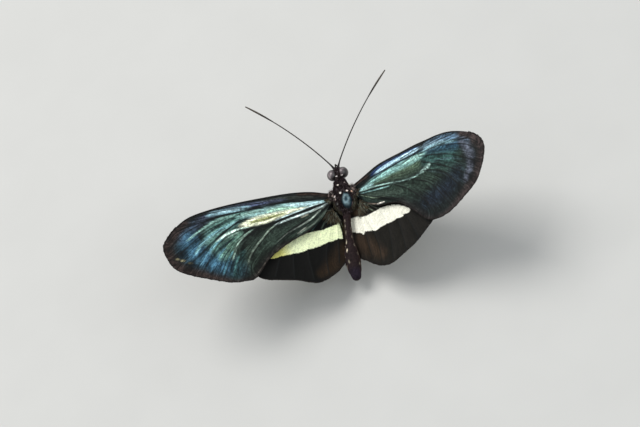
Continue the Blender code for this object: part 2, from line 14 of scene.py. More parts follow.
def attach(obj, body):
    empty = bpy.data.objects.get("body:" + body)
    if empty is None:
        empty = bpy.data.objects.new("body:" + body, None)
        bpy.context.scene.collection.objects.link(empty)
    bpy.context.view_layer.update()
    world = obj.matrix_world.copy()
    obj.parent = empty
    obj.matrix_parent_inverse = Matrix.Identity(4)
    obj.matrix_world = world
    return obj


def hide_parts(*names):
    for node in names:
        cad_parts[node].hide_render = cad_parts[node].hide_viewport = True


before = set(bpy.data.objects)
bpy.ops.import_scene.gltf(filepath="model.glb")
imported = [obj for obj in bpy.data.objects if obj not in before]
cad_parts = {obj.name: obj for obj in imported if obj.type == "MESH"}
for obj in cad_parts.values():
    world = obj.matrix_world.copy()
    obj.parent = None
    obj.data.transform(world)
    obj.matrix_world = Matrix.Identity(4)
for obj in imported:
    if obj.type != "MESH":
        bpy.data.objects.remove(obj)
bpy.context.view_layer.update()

MM = 0.001
SIDES = {"left": -1.0, "right": 1.0}
X, Y, Z = range(3)

# Stance of the body frame in the world, in millimetres
STANCE_SHIFT = np.array([1.59, 0.7, 7.6])
STANCE_PITCH = 8.0  # degrees, nose up

# Camera, in the body frame, in degrees and millimetres: behind and above the insect, leaning to the right,
# then rolled about its own axis
CAMERA_RISE = 60.0
CAMERA_LEAN = -8.2
CAMERA_ROLL = 13.2
CAMERA_DISTANCE = 600.0
CAMERA_OFFSET = (4.66, 3.08)
PHOTO_WIDTH = 640
MM_PER_PIXEL = 0.191
SENSOR_WIDTH = 36.0


# Frames and curves

def rotation(axis, degrees):
    """Rotation about X, Y or Z."""
    c, s = math.cos(math.radians(degrees)), math.sin(math.radians(degrees))
    a, b = (axis + 1) % 3, (axis + 2) % 3
    made = np.eye(3)
    made[[a, b], [a, b]] = c
    made[a, b] = -s
    made[b, a] = s
    return made


STANCE_TURN = rotation(X, STANCE_PITCH)


def to_world(points):
    """Body-frame millimetres as world metres: pitch about X, then shift."""
    return (points @ STANCE_TURN.T + STANCE_SHIFT) * MM


def unit(vectors):
    """Vectors at length one."""
    return vectors / np.maximum(np.linalg.norm(vectors, axis=-1, keepdims=True), 1e-9)


def smooth_line(knots, count):
    """Points at even steps of arc length on the Catmull-Rom curve through the knots."""
    knots = np.asarray(knots, float)
    ends = np.vstack([2.0 * knots[:1] - knots[1:2], knots, 2.0 * knots[-1:] - knots[-2:-1]])
    t = np.linspace(0.0, 1.0, 24, endpoint=False)[None, :, None]
    a, b, c, d = (ends[k : len(ends) - 3 + k][:, None, :] for k in range(4))
    curve = 0.5 * (2.0 * b + (c - a) * t + (2.0 * a - 5.0 * b + 4.0 * c - d) * t ** 2
                   + (3.0 * b - a - 3.0 * c + d) * t ** 3)
    curve = np.vstack([curve.reshape(-1, knots.shape[1]), knots[-1:]])
    run = np.concatenate([[0.0], np.cumsum(np.linalg.norm(np.diff(curve, axis=0), axis=1))])
    even = np.linspace(0.0, run[-1], count)
    return np.stack([np.interp(even, run, curve[:, k]) for k in range(curve.shape[1])], axis=1)


def smoothstep(low, high, values):
    """0 below low, 1 above high, an S-curve between."""
    t = np.clip((values - low) / (high - low), 0.0, 1.0)
    return t * t * (3.0 - 2.0 * t)


def line_field(points, line):
    """Distance from each point to a polyline, and the share of its length up to the nearest place."""
    lengths = np.linalg.norm(np.diff(line, axis=0), axis=1)
    starts = np.concatenate([[0.0], np.cumsum(lengths)])
    best = np.full(len(points), np.inf)
    share = np.zeros(len(points))
    for k, length in enumerate(lengths):
        a, step = line[k], line[k + 1] - line[k]
        along = np.clip((points - a) @ step / max(length * length, 1e-12), 0.0, 1.0)
        gap = np.linalg.norm(points - a - along[:, None] * step, axis=1)
        nearer = gap < best
        best = np.where(nearer, gap, best)
        share = np.where(nearer, (starts[k] + along * length) / starts[-1], share)
    return best, share


def inside_outline(points, outline):
    """Signed distance to a closed outline, above 0 inside: crossing count for the sign."""
    closed = np.vstack([outline, outline[:1]])
    gap, _ = line_field(points, closed)
    within = np.zeros(len(points), bool)
    for a, b in zip(closed[:-1], closed[1:]):
        spans = (a[1] > points[:, 1]) != (b[1] > points[:, 1])
        rise = b[1] - a[1] if abs(b[1] - a[1]) > 1e-12 else 1e-12
        within ^= spans & (points[:, 0] < a[0] + (b[0] - a[0]) * (points[:, 1] - a[1]) / rise)
    return np.where(within, gap, -gap)


def colour(text):
    """Linear red, green and blue of a six-figure colour."""
    parts = np.array([int(text[k : k + 2], 16) for k in (1, 3, 5)]) / 255.0
    return np.where(parts <= 0.04045, parts / 12.92, ((parts + 0.055) / 1.055) ** 2.4)


def laid(paint, tint, cover):
    """Paint with a six-figure colour laid over it, as far as the cover says at each point."""
    return paint + (colour(tint) - paint) * cover[:, None]


# Meshes

def enclosed(points, faces):
    """Signed volume within faces, each split into a fan of triangles: above 0 where they face outward."""
    total = 0.0
    for f in faces:
        for k in range(1, f.shape[1] - 1):
            a, b, c = points[f[:, 0]], points[f[:, k]], points[f[:, k + 1]]
            total += float(np.sum(a * np.cross(b, c)))
    return total / 6.0


def build(name, points, faces, material, fields=None, colours=None, uv=None):
    """One mesh object from world points and arrays of faces, turned to face outward, with its point
    attributes and UV map."""
    if enclosed(points - points.mean(axis=0), faces) < 0.0:
        faces = [f[:, ::-1] for f in faces]
    mesh = bpy.data.meshes.new(name)
    flat = np.concatenate([f.ravel() for f in faces]).astype(np.int32)
    sides = np.concatenate([np.full(len(f), f.shape[1]) for f in faces]).astype(np.int32)
    mesh.vertices.add(len(points))
    mesh.vertices.foreach_set("co", np.ascontiguousarray(points, np.float32).ravel())
    mesh.loops.add(len(flat))
    mesh.loops.foreach_set("vertex_index", flat)
    mesh.polygons.add(len(sides))
    mesh.polygons.foreach_set("loop_start", np.concatenate([[0], np.cumsum(sides)[:-1]]).astype(np.int32))
    mesh.polygons.foreach_set("loop_total", sides)
    mesh.update(calc_edges=True)
    for label, values in (fields or {}).items():
        data = mesh.attributes.new(label, "FLOAT", "POINT").data
        data.foreach_set("value", np.ascontiguousarray(values, np.float32))
    for label, values in (colours or {}).items():
        data = mesh.attributes.new(label, "FLOAT_COLOR", "POINT").data
        full = np.concatenate([values, np.ones((len(values), 1))], axis=1)
        data.foreach_set("color", np.ascontiguousarray(full, np.float32).ravel())
    if uv is not None:
        data = mesh.uv_layers.new(name="OFBake").data
        data.foreach_set("uv", np.ascontiguousarray(uv[flat], np.float32).ravel())
    mesh.validate()
    mesh.shade_smooth()
    mesh.materials.append(material)
    made = bpy.data.objects.new(name, mesh)
    bpy.context.scene.collection.objects.link(made)
    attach(made, "root")
    return made


def grid_faces(rows, columns):
    """Quads of a grid whose columns close into a ring, rows one after another."""
    r, c = np.meshgrid(np.arange(rows - 1), np.arange(columns), indexing="ij")
    n = (c + 1) % columns
    return np.stack([r * columns + c, r * columns + n, (r + 1) * columns + n, (r + 1) * columns + c],
                    axis=-1).reshape(-1, 4)


def ringed_faces(rows, columns):
    """A ring grid with one more point at each end, which closes it: the last two points."""
    first, last = rows * columns, rows * columns + 1
    c = np.arange(columns)
    n = (c + 1) % columns
    head = np.stack([n, c, np.full(columns, first)], axis=1)
    base = (rows - 1) * columns
    tail = np.stack([base + c, base + n, np.full(columns, last)], axis=1)
    return [grid_faces(rows, columns), head, tail]


TUBE_SIDES = 20


def tube_points(path, width, height, up):
    """Rings round a path: ring k is an ellipse of half width[k] across and height[k] along up, square to
    the path, and the two end points of the path close it."""
    ahead = unit(np.gradient(path, axis=0))
    across = unit(np.cross(ahead, up))
    over = np.cross(across, ahead)
    turn = np.linspace(0.0, 2.0 * np.pi, TUBE_SIDES, endpoint=False)[None, :, None]
    rings = path[:, None] + (np.cos(turn) * across[:, None] * width[:, None, None]
                             + np.sin(turn) * over[:, None] * height[:, None, None])
    tip = path[-1] + ahead[-1] * min(width[-1], height[-1]) * 0.6
    root = path[0] - ahead[0] * min(width[0], height[0]) * 0.6
    return np.vstack([rings.reshape(-1, 3), root[None], tip[None]])


def tube(name, path, width, height, up, material, world=False):
    """A closed tube object along a path. Its 'along' attribute is the share of the path's length."""
    points = tube_points(path, width, height, up)
    share = np.concatenate([np.repeat(np.linspace(0.0, 1.0, len(path)), TUBE_SIDES), [0.0, 1.0]])
    placed = points * MM if world else to_world(points)
    return build(name, placed, ringed_faces(len(path), TUBE_SIDES), material, {"along": share})


def repeated(faces, corners, count):
    """The triangles of one small shape with that many corners, for count of them one after another."""
    return (faces[None] + corners * np.arange(count)[:, None, None]).reshape(-1, 3)


# Shader nodes

def node(tree, kind, inputs=None, **settings):
    """Adds a node, sets its properties, and fills each input with a value or another node's output."""
    made = tree.nodes.new(kind)
    for key, value in settings.items():
        setattr(made, key, value)
    for key, value in (inputs or {}).items():
        if isinstance(value, bpy.types.NodeSocket):
            tree.links.new(value, made.inputs[key])
        else:
            made.inputs[key].default_value = value
    return made


def mix(tree, factor, a, b, blend="MIX"):
    """Mixed colour of a and b, each a node's output, a six-figure colour or four linear parts."""
    a, b = ((*colour(tint), 1.0) if isinstance(tint, str) else tint for tint in (a, b))
    made = node(tree, "ShaderNodeMix", {0: factor, 6: a, 7: b}, data_type="RGBA", blend_type=blend,
                clamp_factor=True)
    return made.outputs[2]


def math_node(tree, operation, *values):
    """A Math node's result."""
    return node(tree, "ShaderNodeMath", dict(enumerate(values)), operation=operation).outputs[0]


def spread(tree, value, low, high, to_low=0.0, to_high=1.0):
    """A value carried from one range to another, smoothly and clamped."""
    ends = {"Value": value, "From Min": low, "From Max": high, "To Min": to_low, "To Max": to_high}
    return node(tree, "ShaderNodeMapRange", ends, interpolation_type="SMOOTHSTEP").outputs["Result"]


def own_place(tree):
    """Each point's place in the object's own coordinates, in metres."""
    return node(tree, "ShaderNodeTexCoord").outputs["Object"]


def noise(tree, vector, scale, detail=3.0, roughness=0.55):
    """A noise value about 0.5."""
    made = node(tree, "ShaderNodeTexNoise", {"Vector": vector, "Scale": scale, "Detail": detail,
                                             "Roughness": roughness})
    return made.outputs["Fac"]


def attribute(tree, name, output="Fac"):
    """A point attribute's value."""
    return node(tree, "ShaderNodeAttribute", attribute_name=name).outputs[output]


def new_material(name, roughness, **sockets):
    """A material with its Principled shader, whose fixed sockets are set by name."""
    made = bpy.data.materials.new(name)
    made.use_nodes = True
    shader = made.node_tree.nodes["Principled BSDF"]
    shader.inputs["Roughness"].default_value = roughness
    for key, value in sockets.items():
        shader.inputs[key.replace("_", " ")].default_value = value
    return made, made.node_tree, shader


def bump(tree, shader, height, distance, strength):
    """Gives the shader a bump from a height, distance in metres."""
    made = node(tree, "ShaderNodeBump", {"Height": height, "Distance": distance, "Strength": strength})
    tree.links.new(made.outputs["Normal"], shader.inputs["Normal"])


def scale_cover_group():
    """Tiny overlapping wing and body scales: a speckle for the colour and a height for the bump."""
    group = bpy.data.node_groups.new("scale_cover", "ShaderNodeTree")
    for label, value in (("Size", 0.00009), ("Contrast", 0.3)):
        socket = group.interface.new_socket(label, in_out="INPUT", socket_type="NodeSocketFloat")
        socket.default_value = value
    group.interface.new_socket("Speckle", in_out="OUTPUT", socket_type="NodeSocketFloat")
    group.interface.new_socket("Height", in_out="OUTPUT", socket_type="NodeSocketFloat")
    start = node(group, "NodeGroupInput")
    end = node(group, "NodeGroupOutput")
    place = own_place(group)
    density = math_node(group, "DIVIDE", 1.0, start.outputs["Size"])
    cells = node(group, "ShaderNodeTexVoronoi", {"Vector": place, "Scale": density})
    random = node(group, "ShaderNodeSeparateColor", {"Color": cells.outputs["Color"]}).outputs["Red"]
    centred = math_node(group, "SUBTRACT", random, 0.5)
    swing = math_node(group, "MULTIPLY", centred, start.outputs["Contrast"])
    group.links.new(math_node(group, "ADD", 1.0, swing), end.inputs["Speckle"])
    group.links.new(math_node(group, "SUBTRACT", 1.0, cells.outputs["Distance"]), end.inputs["Height"])
    return group


SCALE_COVER = scale_cover_group()


def scale_cover(tree, size, contrast):
    """The scale cover's speckle and height in a material."""
    made = node(tree, "ShaderNodeGroup", {"Size": size, "Contrast": contrast}, node_tree=SCALE_COVER)
    return made.outputs["Speckle"], made.outputs["Height"]


def times(tree, tint, value):
    """A colour brightened or darkened by a value."""
    grey = node(tree, "ShaderNodeCombineColor", {"Red": value, "Green": value, "Blue": value}).outputs[0]
    return mix(tree, 1.0, tint, grey, "MULTIPLY")


# Wings: outlines, veins and placing, as in the solids

HINGE = np.array([2.4, 0.6, 0.8])
WING_RAISE = {"left": 26.8, "right": 34.2}
WING_PITCH = {"left": -0.1, "right": -2.6}
FOREWING_SWEEP = {"left": 0.0, "right": -2.6}
HINDWING_SWEEP = {"left": -4.0, "right": -8.0}
FOREWING_SPREAD = {"left": (1.0, 1.0), "right": (0.98, 0.99)}  # of the veins, outward and forward
HINDWING_SPREAD = {"left": (1.0, 0.96), "right": (0.985, 1.02)}
HINDWING_BACK = 2.2
HINDWING_DROP = 0.95
TUCK_FALL = 0.22  # of the square of the way in from the bend
MARGIN_INSET = 0.12  # room for the fringe scales inside the solid's outline
FRINGE_LENGTH = 0.2
FRINGE_SCALES = 900
FRINGE_CLUMP = 7  # scales that share a length
FRINGE_HALF = 0.045
FRINGE_ROOT = 0.14  # how far the scales start inside the margin
FRINGE_THICK = 0.012
FRINGE_TINT = "#1b1614"
MARGIN_POINTS = 1200
TIP_HALF = 10  # margin points left out on each side of the tip
WING_CAMBER = 0.3
CAMBER_SPAN = 36.0
SPAN_ROWS = 230
CHORD_POINTS = 140
MEMBRANE_HALF = 0.05
VEIN_RISE = 0.085
VEIN_WIDTH = 0.13
PLEAT_DEPTH = 0.1
CROSS_VEIN_FADE = 0.1  # the vein that closes the cell is weaker
VEIN_TAPER = 0.55  # share of its width that a vein loses by its end
RIDGE_BELOW = 0.7  # ridges on the underside, as a share of those above
PLEAT_START = 0.7  # how far from a vein the sheet is well into a pleat
RIM_THIN = 0.45  # share of the sheet's thickness left at its rim
FLOW_NEAR = 0.12  # softens the pull of a vein close to its line
FLOW_FALL = -1.2  # power of the squared distance by which the pull falls
STROKE_END = 0.12  # share of a stroke in which it fades at each end

# Margins run from the front of the root round the tip to the back of the root
FOREWING_MARGIN = {
    "left": (
        (-1, 0.6), (0.4, 0.8), (3.8, 1.35), (8, 1.3), (14, 0.55), (20, -0.4), (25, -1.5), (29, -2.9),
        (32.1, -5.3), (34.2, -8), (34.6, -9.6), (34.2, -11.6), (33.2, -13.7), (31, -15.2), (26.9, -16.6),
        (23.2, -17.6), (20.6, -17.6), (17.9, -16.9), (14.6, -13), (10, -9.7), (5.7, -7.4), (2.4, -4.6),
        (0.5, -1.9), (-1, -1.2)),
    "right": (
        (-1, 1), (0.4, 1.15), (2.6, 1.35), (6.5, 1.65), (9.2, 1.45), (13.6, 0.8), (17.4, 0.3),
        (20.3, -0.25), (23.1, -0.75), (25.9, -1.55), (28.6, -2.85), (31.7, -4.9), (33.6, -7),
        (34.25, -9.2), (33.6, -11.4), (32.3, -13.5), (30.7, -15.2), (27.4, -16.5), (24, -17.5),
        (21.6, -17.6), (18.9, -17), (17, -15.8), (15, -13.4), (11.7, -9.7), (9.1, -8.1), (5, -6.5),
        (2.5, -4.5), (0.3, -1.9), (-1, -1.2)),
}
# Order numbers of the veins below, from the front edge back. None is the vein that closes the cell.
FOREWING_ORDER = (0.0, 2.0, 1.0, 2.6, 3.4, 4.2, 5.0, 6.0, None, 7.0, 8.0, 9.0, 9.6, 10.6, 12.0)
FOREWING_VEINS = {
    "subcosta": ((0, 0.3), (8, 0.6), (14, 0.2), (19.6, -0.7)),
    "radius": ((0, -0.3), (2.3, -0.7), (8.3, -0.75), (13.8, -1.1), (18.3, -2)),
    "radius_1": ((13.6, -0.7), (18, -1), (24.6, -1.7)),
    "radius_2": ((17, -1.6), (22, -1.9), (28.3, -3)),
    "radius_3": ((18.4, -2.3), (25, -3.5), (30.8, -4.8)),
    "radius_4": ((27.6, -4.1), (31.5, -5.9), (33.5, -7.9)),
    "radius_5": ((24, -3.4), (30, -6.3), (33.8, -9.8)),
    "media_1": ((18.5, -2.8), (26, -6.4), (33.2, -12)),
    "cell_end": ((18.4, -2.3), (18.9, -4.2), (19, -6.2)),
    "media_2": ((18.9, -4.2), (25, -8.6), (31.3, -14.2)),
    "media_3": ((19, -6.2), (23.6, -8.9), (28.4, -15.5)),
    "cubitus": ((0, -0.8), (2.1, -1.8), (7.4, -3.35), (10.8, -4.5), (13.9, -5.75), (19, -6.2)),
    "cubitus_1": ((15.5, -6.2), (20.3, -9.8), (24.4, -16.8)),
    "cubitus_2": ((10.8, -4.9), (13.4, -6.9), (15.4, -9), (18.5, -12.9), (20.4, -17.1)),
    "anal": ((0.9, -1.4), (3.8, -3.7), (8.5, -6.6), (13, -10.2), (17, -14.8)),
}
HINDWING_MARGIN = {
    "left": (
        (-2.6, 2.3), (-0.3, 2.1), (2.5, 2.8), (7, 3), (12, 2.1), (16.5, -0.6), (19.3, -4), (20.2, -7.5),
        (19.3, -11.3), (17.5, -13.4), (14.4, -14.1), (11.2, -14.6), (8.4, -15.5), (6.4, -15.6),
        (3.4, -14.3), (1.2, -12.6), (-1.05, -9.8), (-1.5, -6.1), (-1.7, -3.9), (-2.6, -2.4), (-3.4, -1.2)),
    "right": (
        (-2.6, 2.3), (-0.3, 2.1), (2.5, 2.9), (6.9, 3.2), (11.8, 2.2), (16.3, -0.6), (19, -4.2),
        (20, -8.5), (19.2, -12), (17.3, -13.3), (14, -14.9), (11, -15.6), (8.3, -16.2), (6.1, -16.2),
        (3.4, -15.2), (0.8, -13.4), (-3.15, -10.4), (-4.25, -6.6), (-4.3, -4.4), (-4.2, -2.6),
        (-3.6, -1.2)),
}
# Where the hindwing starts to bend down beside the abdomen: outward, at each place back
HINDWING_TUCK = {
    "left": ((1.2, -12.6), (0.45, -9.8), (0, -6.1), (0, -3.9)),
    "right": ((0.8, -13.4), (-1.65, -10.4), (-2.75, -6.6), (-2.5, -4.2)),
}
HINDWING_ORDER = (0.0, 1.0, 2.0, None, 3.0, 4.0, 4.6, 5.0, 6.0, 7.0, 8.0)
HINDWING_VEINS = {
    "subcosta": ((0.1, 0.6), (5, 1.7), (12, 0.8), (18.1, -3.2)),
    "radius": ((0.2, 0.1), (5, 0.1), (9.3, -1.3), (14, -2.8), (19.3, -6.6)),
    "media_1": ((9.3, -1.3), (15, -4.9), (19.4, -9.8)),
    "cell_end": ((9.3, -1.3), (9.1, -2.8), (8.9, -4.1)),
    "media_2": ((9.2, -2.7), (14.5, -7.2), (18, -12)),
    "media_3": ((8.9, -4.1), (12.5, -8.7), (15.1, -13.8)),
    "cubitus": ((0.1, -0.5), (3, -2.6), (5.6, -3.7), (8.9, -4.1)),
    "cubitus_1": ((7.9, -4.1), (10.2, -9), (11.5, -14.7)),
    "cubitus_2": ((5.4, -3.7), (7.3, -9), (7.8, -15.4)),
    "anal_2": ((-0.1, -1), (2.2, -6), (4, -10.5), (4.6, -14.7)),
    "anal_3": ((-0.4, -1.5), (0.5, -6), (1.2, -9.5), (1.9, -12.4)),
}

# Wing markings. Each stroke is a colour, a strength, the share of its width that fades, and its line:
# outward, forward and half width in wing millimetres. The blue, teal and white strokes are partly painted
# sheen and painted highlight. Where left and right differ, the difference is painted sheen, highlight
# and shade, for light that falls differently on each wing.
FOREWING_GROUND = {"left": "#171b1a", "right": "#141a1a"}
FOREWING_STROKES_AND_SHEEN = {
    "left": (
        ("#2f3c34", 0.9, 1, ((3, -4, 1.6), (9, -7.2, 3), (15, -10, 4.6), (20, -13.4, 5))),
        ("#304c5c", 0.92, 1, ((29, -5.4, 2.6), (29.2, -9.4, 4.4), (26, -12.4, 4.6), (21.5, -14.6, 3.2))),
        ("#3b4557", 0.6, 1, ((24, -3.2, 0.9), (28.2, -5, 1.7), (30.6, -7.4, 1.6))),
        ("#41687f", 0.7, 1, ((29.6, -6.8, 1.9), (28.9, -9.4, 2.9), (26.8, -11.6, 3), (24.2, -13.6, 2.2))),
        ("#6a958c", 0.88, 1, ((18, -2.6, 1.4), (21.5, -4.8, 3), (24, -7.2, 3.4), (24.4, -9.8, 2.8),
         (23.6, -11.8, 1.8))),
        ("#1c2f2f", 0.85, 1, ((19.4, -11, 1), (20.6, -13.6, 1.9), (22, -16.6, 1.6))),
        ("#618475", 0.8, 1, ((19.5, -7.2, 1.2), (21.5, -9.2, 1.8), (22.6, -11.5, 1.6))),
        ("#0e110d", 0.7, 1, ((9, -8.6, 0.7), (13.6, -11, 1.3), (16.4, -13.4, 1.9), (18.2, -15.8, 1.2))),
        ("#1d1b1c", 0.8, 1, ((28.4, -4.1, 0.6), (30.4, -5, 1.1), (32.2, -7, 0.9))),
        ("#3c2b22", 0.8, 1, ((0.2, 0.2, 0.6), (3.5, 0.8, 0.8), (7, 0.7, 0.5))),
        ("#4a5049", 0.4, 0.7, ((3, 0.1, 0.3), (9, 0.15, 0.45), (15, -0.4, 0.3))),
        ("#474e62", 0.75, 1, ((9, -0.1, 0.6), (14, -0.8, 0.9), (19.5, -1.4, 0.9), (27, -3.2, 0.6))),
        ("#68759a", 0.65, 1, ((12.5, -0.6, 0.3), (15, -0.9, 0.5), (18.5, -1.3, 0.4))),
        ("#87abb6", 0.9, 0.9, ((16, -1.2, 0.5), (18.7, -1.75, 0.9), (21.3, -2.1, 0.95),
         (23.6, -2.4, 0.8), (25.6, -3, 0.4))),
        ("#b4d2da", 0.6, 0.8, ((18, -1.7, 0.25), (20.4, -1.9, 0.35), (22.6, -2.2, 0.25))),
        ("#8db4b2", 0.96, 0.9, ((0.2, -0.9, 0.4), (2.8, -1.1, 0.6), (5.9, -1.5, 0.9), (9.5, -1.8, 1.2),
         (12.9, -2.3, 1.3), (16.3, -3, 1.1), (19.2, -3.5, 0.6))),
        ("#bfe0e6", 0.85, 1, ((1.2, -1, 0.35), (5, -1.35, 0.6), (9.4, -1.6, 0.6))),
        ("#a6cdb6", 0.85, 1, ((7, -2, 0.4), (10.5, -2.2, 0.7), (13.6, -2.6, 0.5))),
        ("#86a99c", 0.6, 1, ((14, -2.1, 0.4), (16.8, -2.8, 0.6), (18.8, -3.2, 0.4))),
        ("#f3f8da", 0.98, 0.65, ((4.4, -2, 0.2), (8.9, -2.85, 0.6), (12.2, -3.75, 1.1),
         (15.6, -4.6, 1.3), (19, -5.5, 0.6))),
        ("#a4a971", 0.9, 0.9, ((9.2, -3.1, 0.25), (12, -3.7, 0.6), (14.5, -4.25, 0.75), (17.6, -5, 0.35))),
        ("#6c713f", 0.75, 0.7, ((10.2, -3.35, 0.18), (13.3, -4.1, 0.32), (17.1, -4.9, 0.2))),
        ("#12181b", 0.93, 0.7, ((1.6, -0.6, 0.16), (5, -0.68, 0.24), (9.3, -0.85, 0.26),
         (13.8, -1.5, 0.26), (18.4, -2.35, 0.28), (22.4, -3.05, 0.26), (25.3, -3.9, 0.24),
         (28.6, -4.7, 0.16))),
        ("#c9e2e2", 0.85, 0.7, ((1.6, -1.25, 0.2), (4.4, -1.95, 0.2), (7.4, -3.02, 0.22),
         (10, -3.98, 0.22), (12.4, -4.9, 0.2))),
        ("#1a2122", 0.95, 0.7, ((0.4, -0.95, 0.12), (4.1, -2.12, 0.19), (7.2, -3.3, 0.22),
         (10, -4.3, 0.23), (12.4, -5.2, 0.22), (15.1, -5.75, 0.2), (17.8, -6.05, 0.18),
         (20.4, -6.3, 0.12))),
        ("#cfe3e0", 0.95, 0.8, ((0.5, -1.25, 0.2), (1.9, -1.95, 0.3), (4.9, -3.15, 0.3),
         (8.2, -4.25, 0.28), (11, -5.2, 0.26), (12.8, -6, 0.2))),
        ("#cdeadd", 0.96, 0.85, ((17, -5.9, 0.2), (19.4, -6.15, 0.32), (21.3, -6.75, 0.42),
         (22.9, -7.6, 0.42), (24.6, -8.7, 0.24))),
        ("#a9cdbd", 0.85, 0.7, ((19.4, -6.7, 0.2), (21.4, -7.5, 0.26), (23, -8.4, 0.16))),
        ("#9cc8bd", 0.75, 0.7, ((18.6, -2.9, 0.24), (22.5, -3.6, 0.32), (25, -4.7, 0.32),
         (27.4, -6.2, 0.28), (30.2, -8.2, 0.2))),
        ("#14262b", 0.85, 0.7, ((18.8, -3.35, 0.2), (23.2, -5.2, 0.28), (25.3, -6.5, 0.28),
         (29.4, -9.1, 0.2))),
        ("#86b4b6", 0.85, 1, ((18.4, -3.9, 0.4), (22, -5.6, 0.6), (24.6, -7, 0.65), (27.2, -8.9, 0.55),
         (29, -11.4, 0.3))),
        ("#2e5466", 0.7, 0.7, ((20.4, -4.6, 0.16), (23.4, -6.1, 0.2), (26.4, -8, 0.22),
         (28.6, -10.3, 0.16))),
        ("#121f24", 0.9, 0.7, ((16.8, -3.4, 0.16), (18.6, -4.3, 0.26), (20.9, -5.6, 0.32),
         (23.2, -7.35, 0.32), (26.7, -10.3, 0.28), (29.2, -12.6, 0.2))),
        ("#6090a6", 0.6, 0.7, ((22.6, -7.7, 0.22), (25, -9.6, 0.34), (27.2, -11.9, 0.3),
         (28.4, -13.6, 0.2))),
        ("#142530", 0.85, 0.7, ((19.8, -7.6, 0.22), (22.2, -9, 0.34), (24.3, -10.6, 0.34),
         (27.6, -14.2, 0.24))),
        ("#50809a", 0.6, 0.7, ((22.4, -9.7, 0.28), (24, -11.2, 0.36), (25.6, -13.2, 0.32),
         (26.8, -15.3, 0.2))),
        ("#12222c", 0.85, 0.7, ((21.6, -10, 0.22), (23.6, -12.4, 0.3), (25.4, -15.6, 0.2))),
        ("#4d7f8d", 0.55, 0.7, ((21.2, -10.6, 0.24), (22.8, -12.8, 0.34), (24.3, -16, 0.22))),
        ("#15272b", 0.85, 0.7, ((20.8, -11.4, 0.18), (22.1, -13.8, 0.26), (23.2, -16.4, 0.18))),
        ("#47716d", 0.5, 0.7, ((20.2, -11.6, 0.2), (21.4, -13.6, 0.28), (22.2, -16.2, 0.18))),
        ("#8fa99b", 0.8, 0.7, ((16.4, -6.3, 0.16), (18, -7.2, 0.24), (19.6, -8.6, 0.24),
         (20.9, -10.6, 0.24), (22, -13.2, 0.16))),
        ("#8b9d8e", 0.85, 0.7, ((11.6, -5.5, 0.2), (13.6, -6.8, 0.26), (14.9, -8.2, 0.26),
         (16.5, -9.8, 0.24), (17.9, -11.5, 0.22), (19.3, -14.4, 0.14))),
        ("#a3afa4", 0.8, 0.7, ((1, -1.6, 0.16), (3.3, -3.4, 0.2), (4.9, -4.75, 0.22), (6.9, -5.95, 0.2),
         (10.1, -7.7, 0.18), (12.6, -9.6, 0.1))),
        ("#0c1010", 0.8, 0.7, ((1, -1.9, 0.16), (3, -3.8, 0.22), (4.8, -5.2, 0.24), (7, -6.5, 0.22),
         (10.6, -8.7, 0.16))),
        ("#59655b", 0.75, 0.7, ((0.6, -2, 0.2), (2.6, -4.2, 0.26), (5, -6.1, 0.26), (8.4, -8.3, 0.16))),
        ("#8d968b", 0.7, 0.7, ((3, -2.5, 0.16), (3.8, -2.8, 0.2), (4.6, -3.2, 0.14))),
        ("#8f8f80", 0.75, 0.7, ((5.2, -3.7, 0.2), (6, -4, 0.24), (6.9, -4.4, 0.18))),
        ("#7c8076", 0.75, 0.7, ((6, -6.5, 0.16), (6.8, -6.9, 0.2), (8.4, -8, 0.14))),
        ("#807b70", 0.6, 0.7, ((14.5, -12.6, 0.12), (16, -14.2, 0.16), (17.9, -16.3, 0.12))),
    ),
    "right": (
        ("#29372f", 0.95, 1, ((3, -3.4, 1.8), (9, -5.4, 3.8), (15, -6.6, 5.6), (22, -7.6, 6.4),
         (27, -9, 4.6))),
        ("#304f4c", 0.8, 1, ((18, -3.4, 2), (22, -5, 3.8), (25.6, -6.8, 3.8))),
        ("#34566c", 0.85, 1, ((19.6, -2.2, 1.4), (24, -3.4, 2.4), (27.4, -5, 2.2))),
        ("#1a2330", 0.75, 1, ((18, -12.4, 2.6), (22.5, -12.4, 3.6), (26.6, -11, 3.4))),
        ("#3c5364", 0.7, 1, ((25, -2.9, 1), (28, -4.3, 1.6), (30.2, -6.2, 1.4))),
        ("#575c69", 0.75, 1, ((29, -5.4, 1.3), (30.2, -8, 1.8), (30.2, -11, 1.6), (28.6, -13.2, 1.2))),
        ("#3d2d27", 0.85, 1, ((0, 0.9, 0.5), (2.4, 0.8, 0.8), (4.4, 0.6, 0.5))),
        ("#4a5e4c", 0.9, 1, ((4.6, -1.4, 0.6), (9.5, -2.4, 1.4), (13, -3.2, 1.9), (17.4, -4, 1.7))),
        ("#3a463a", 0.7, 1, ((8.6, -2.7, 0.3), (12.6, -3.5, 0.6), (16.8, -4.5, 0.5))),
        ("#304f8c", 0.8, 0.9, ((4.4, 0.35, 0.45), (6.2, 0.5, 0.62), (9, 0.4, 0.62), (12.5, 0, 0.55),
         (16.1, -0.5, 0.5), (19.2, -1.1, 0.35))),
        ("#c4eafa", 0.98, 0.8, ((5.4, 0.15, 0.24), (7.4, 0.14, 0.44), (9.6, -0.02, 0.58),
         (13.6, -0.52, 0.6), (17, -0.95, 0.54), (19.1, -1.25, 0.34))),
        ("#66829a", 0.85, 1, ((18.4, -1.4, 0.5), (21.5, -1.65, 0.95), (23.9, -2.15, 1.05),
         (26.7, -3.2, 1), (29.4, -4.8, 0.9), (31.4, -6.6, 0.5))),
        ("#9ab8c4", 0.6, 1, ((19, -1.5, 0.7), (20.8, -2, 1.15), (23, -2.5, 0.9), (25.4, -3.3, 0.4))),
        ("#7fa5ad", 0.75, 1, ((18.6, -2.1, 0.5), (21.5, -2.6, 0.8), (24.6, -3.4, 0.7), (28.6, -4.9, 0.3))),
        ("#8fbeb9", 0.97, 0.95, ((2.6, -0.6, 0.4), (6.2, -1, 0.75), (10, -1.45, 1.1),
         (13.3, -1.95, 1.25), (16.9, -2.55, 1.15), (20, -3, 0.6))),
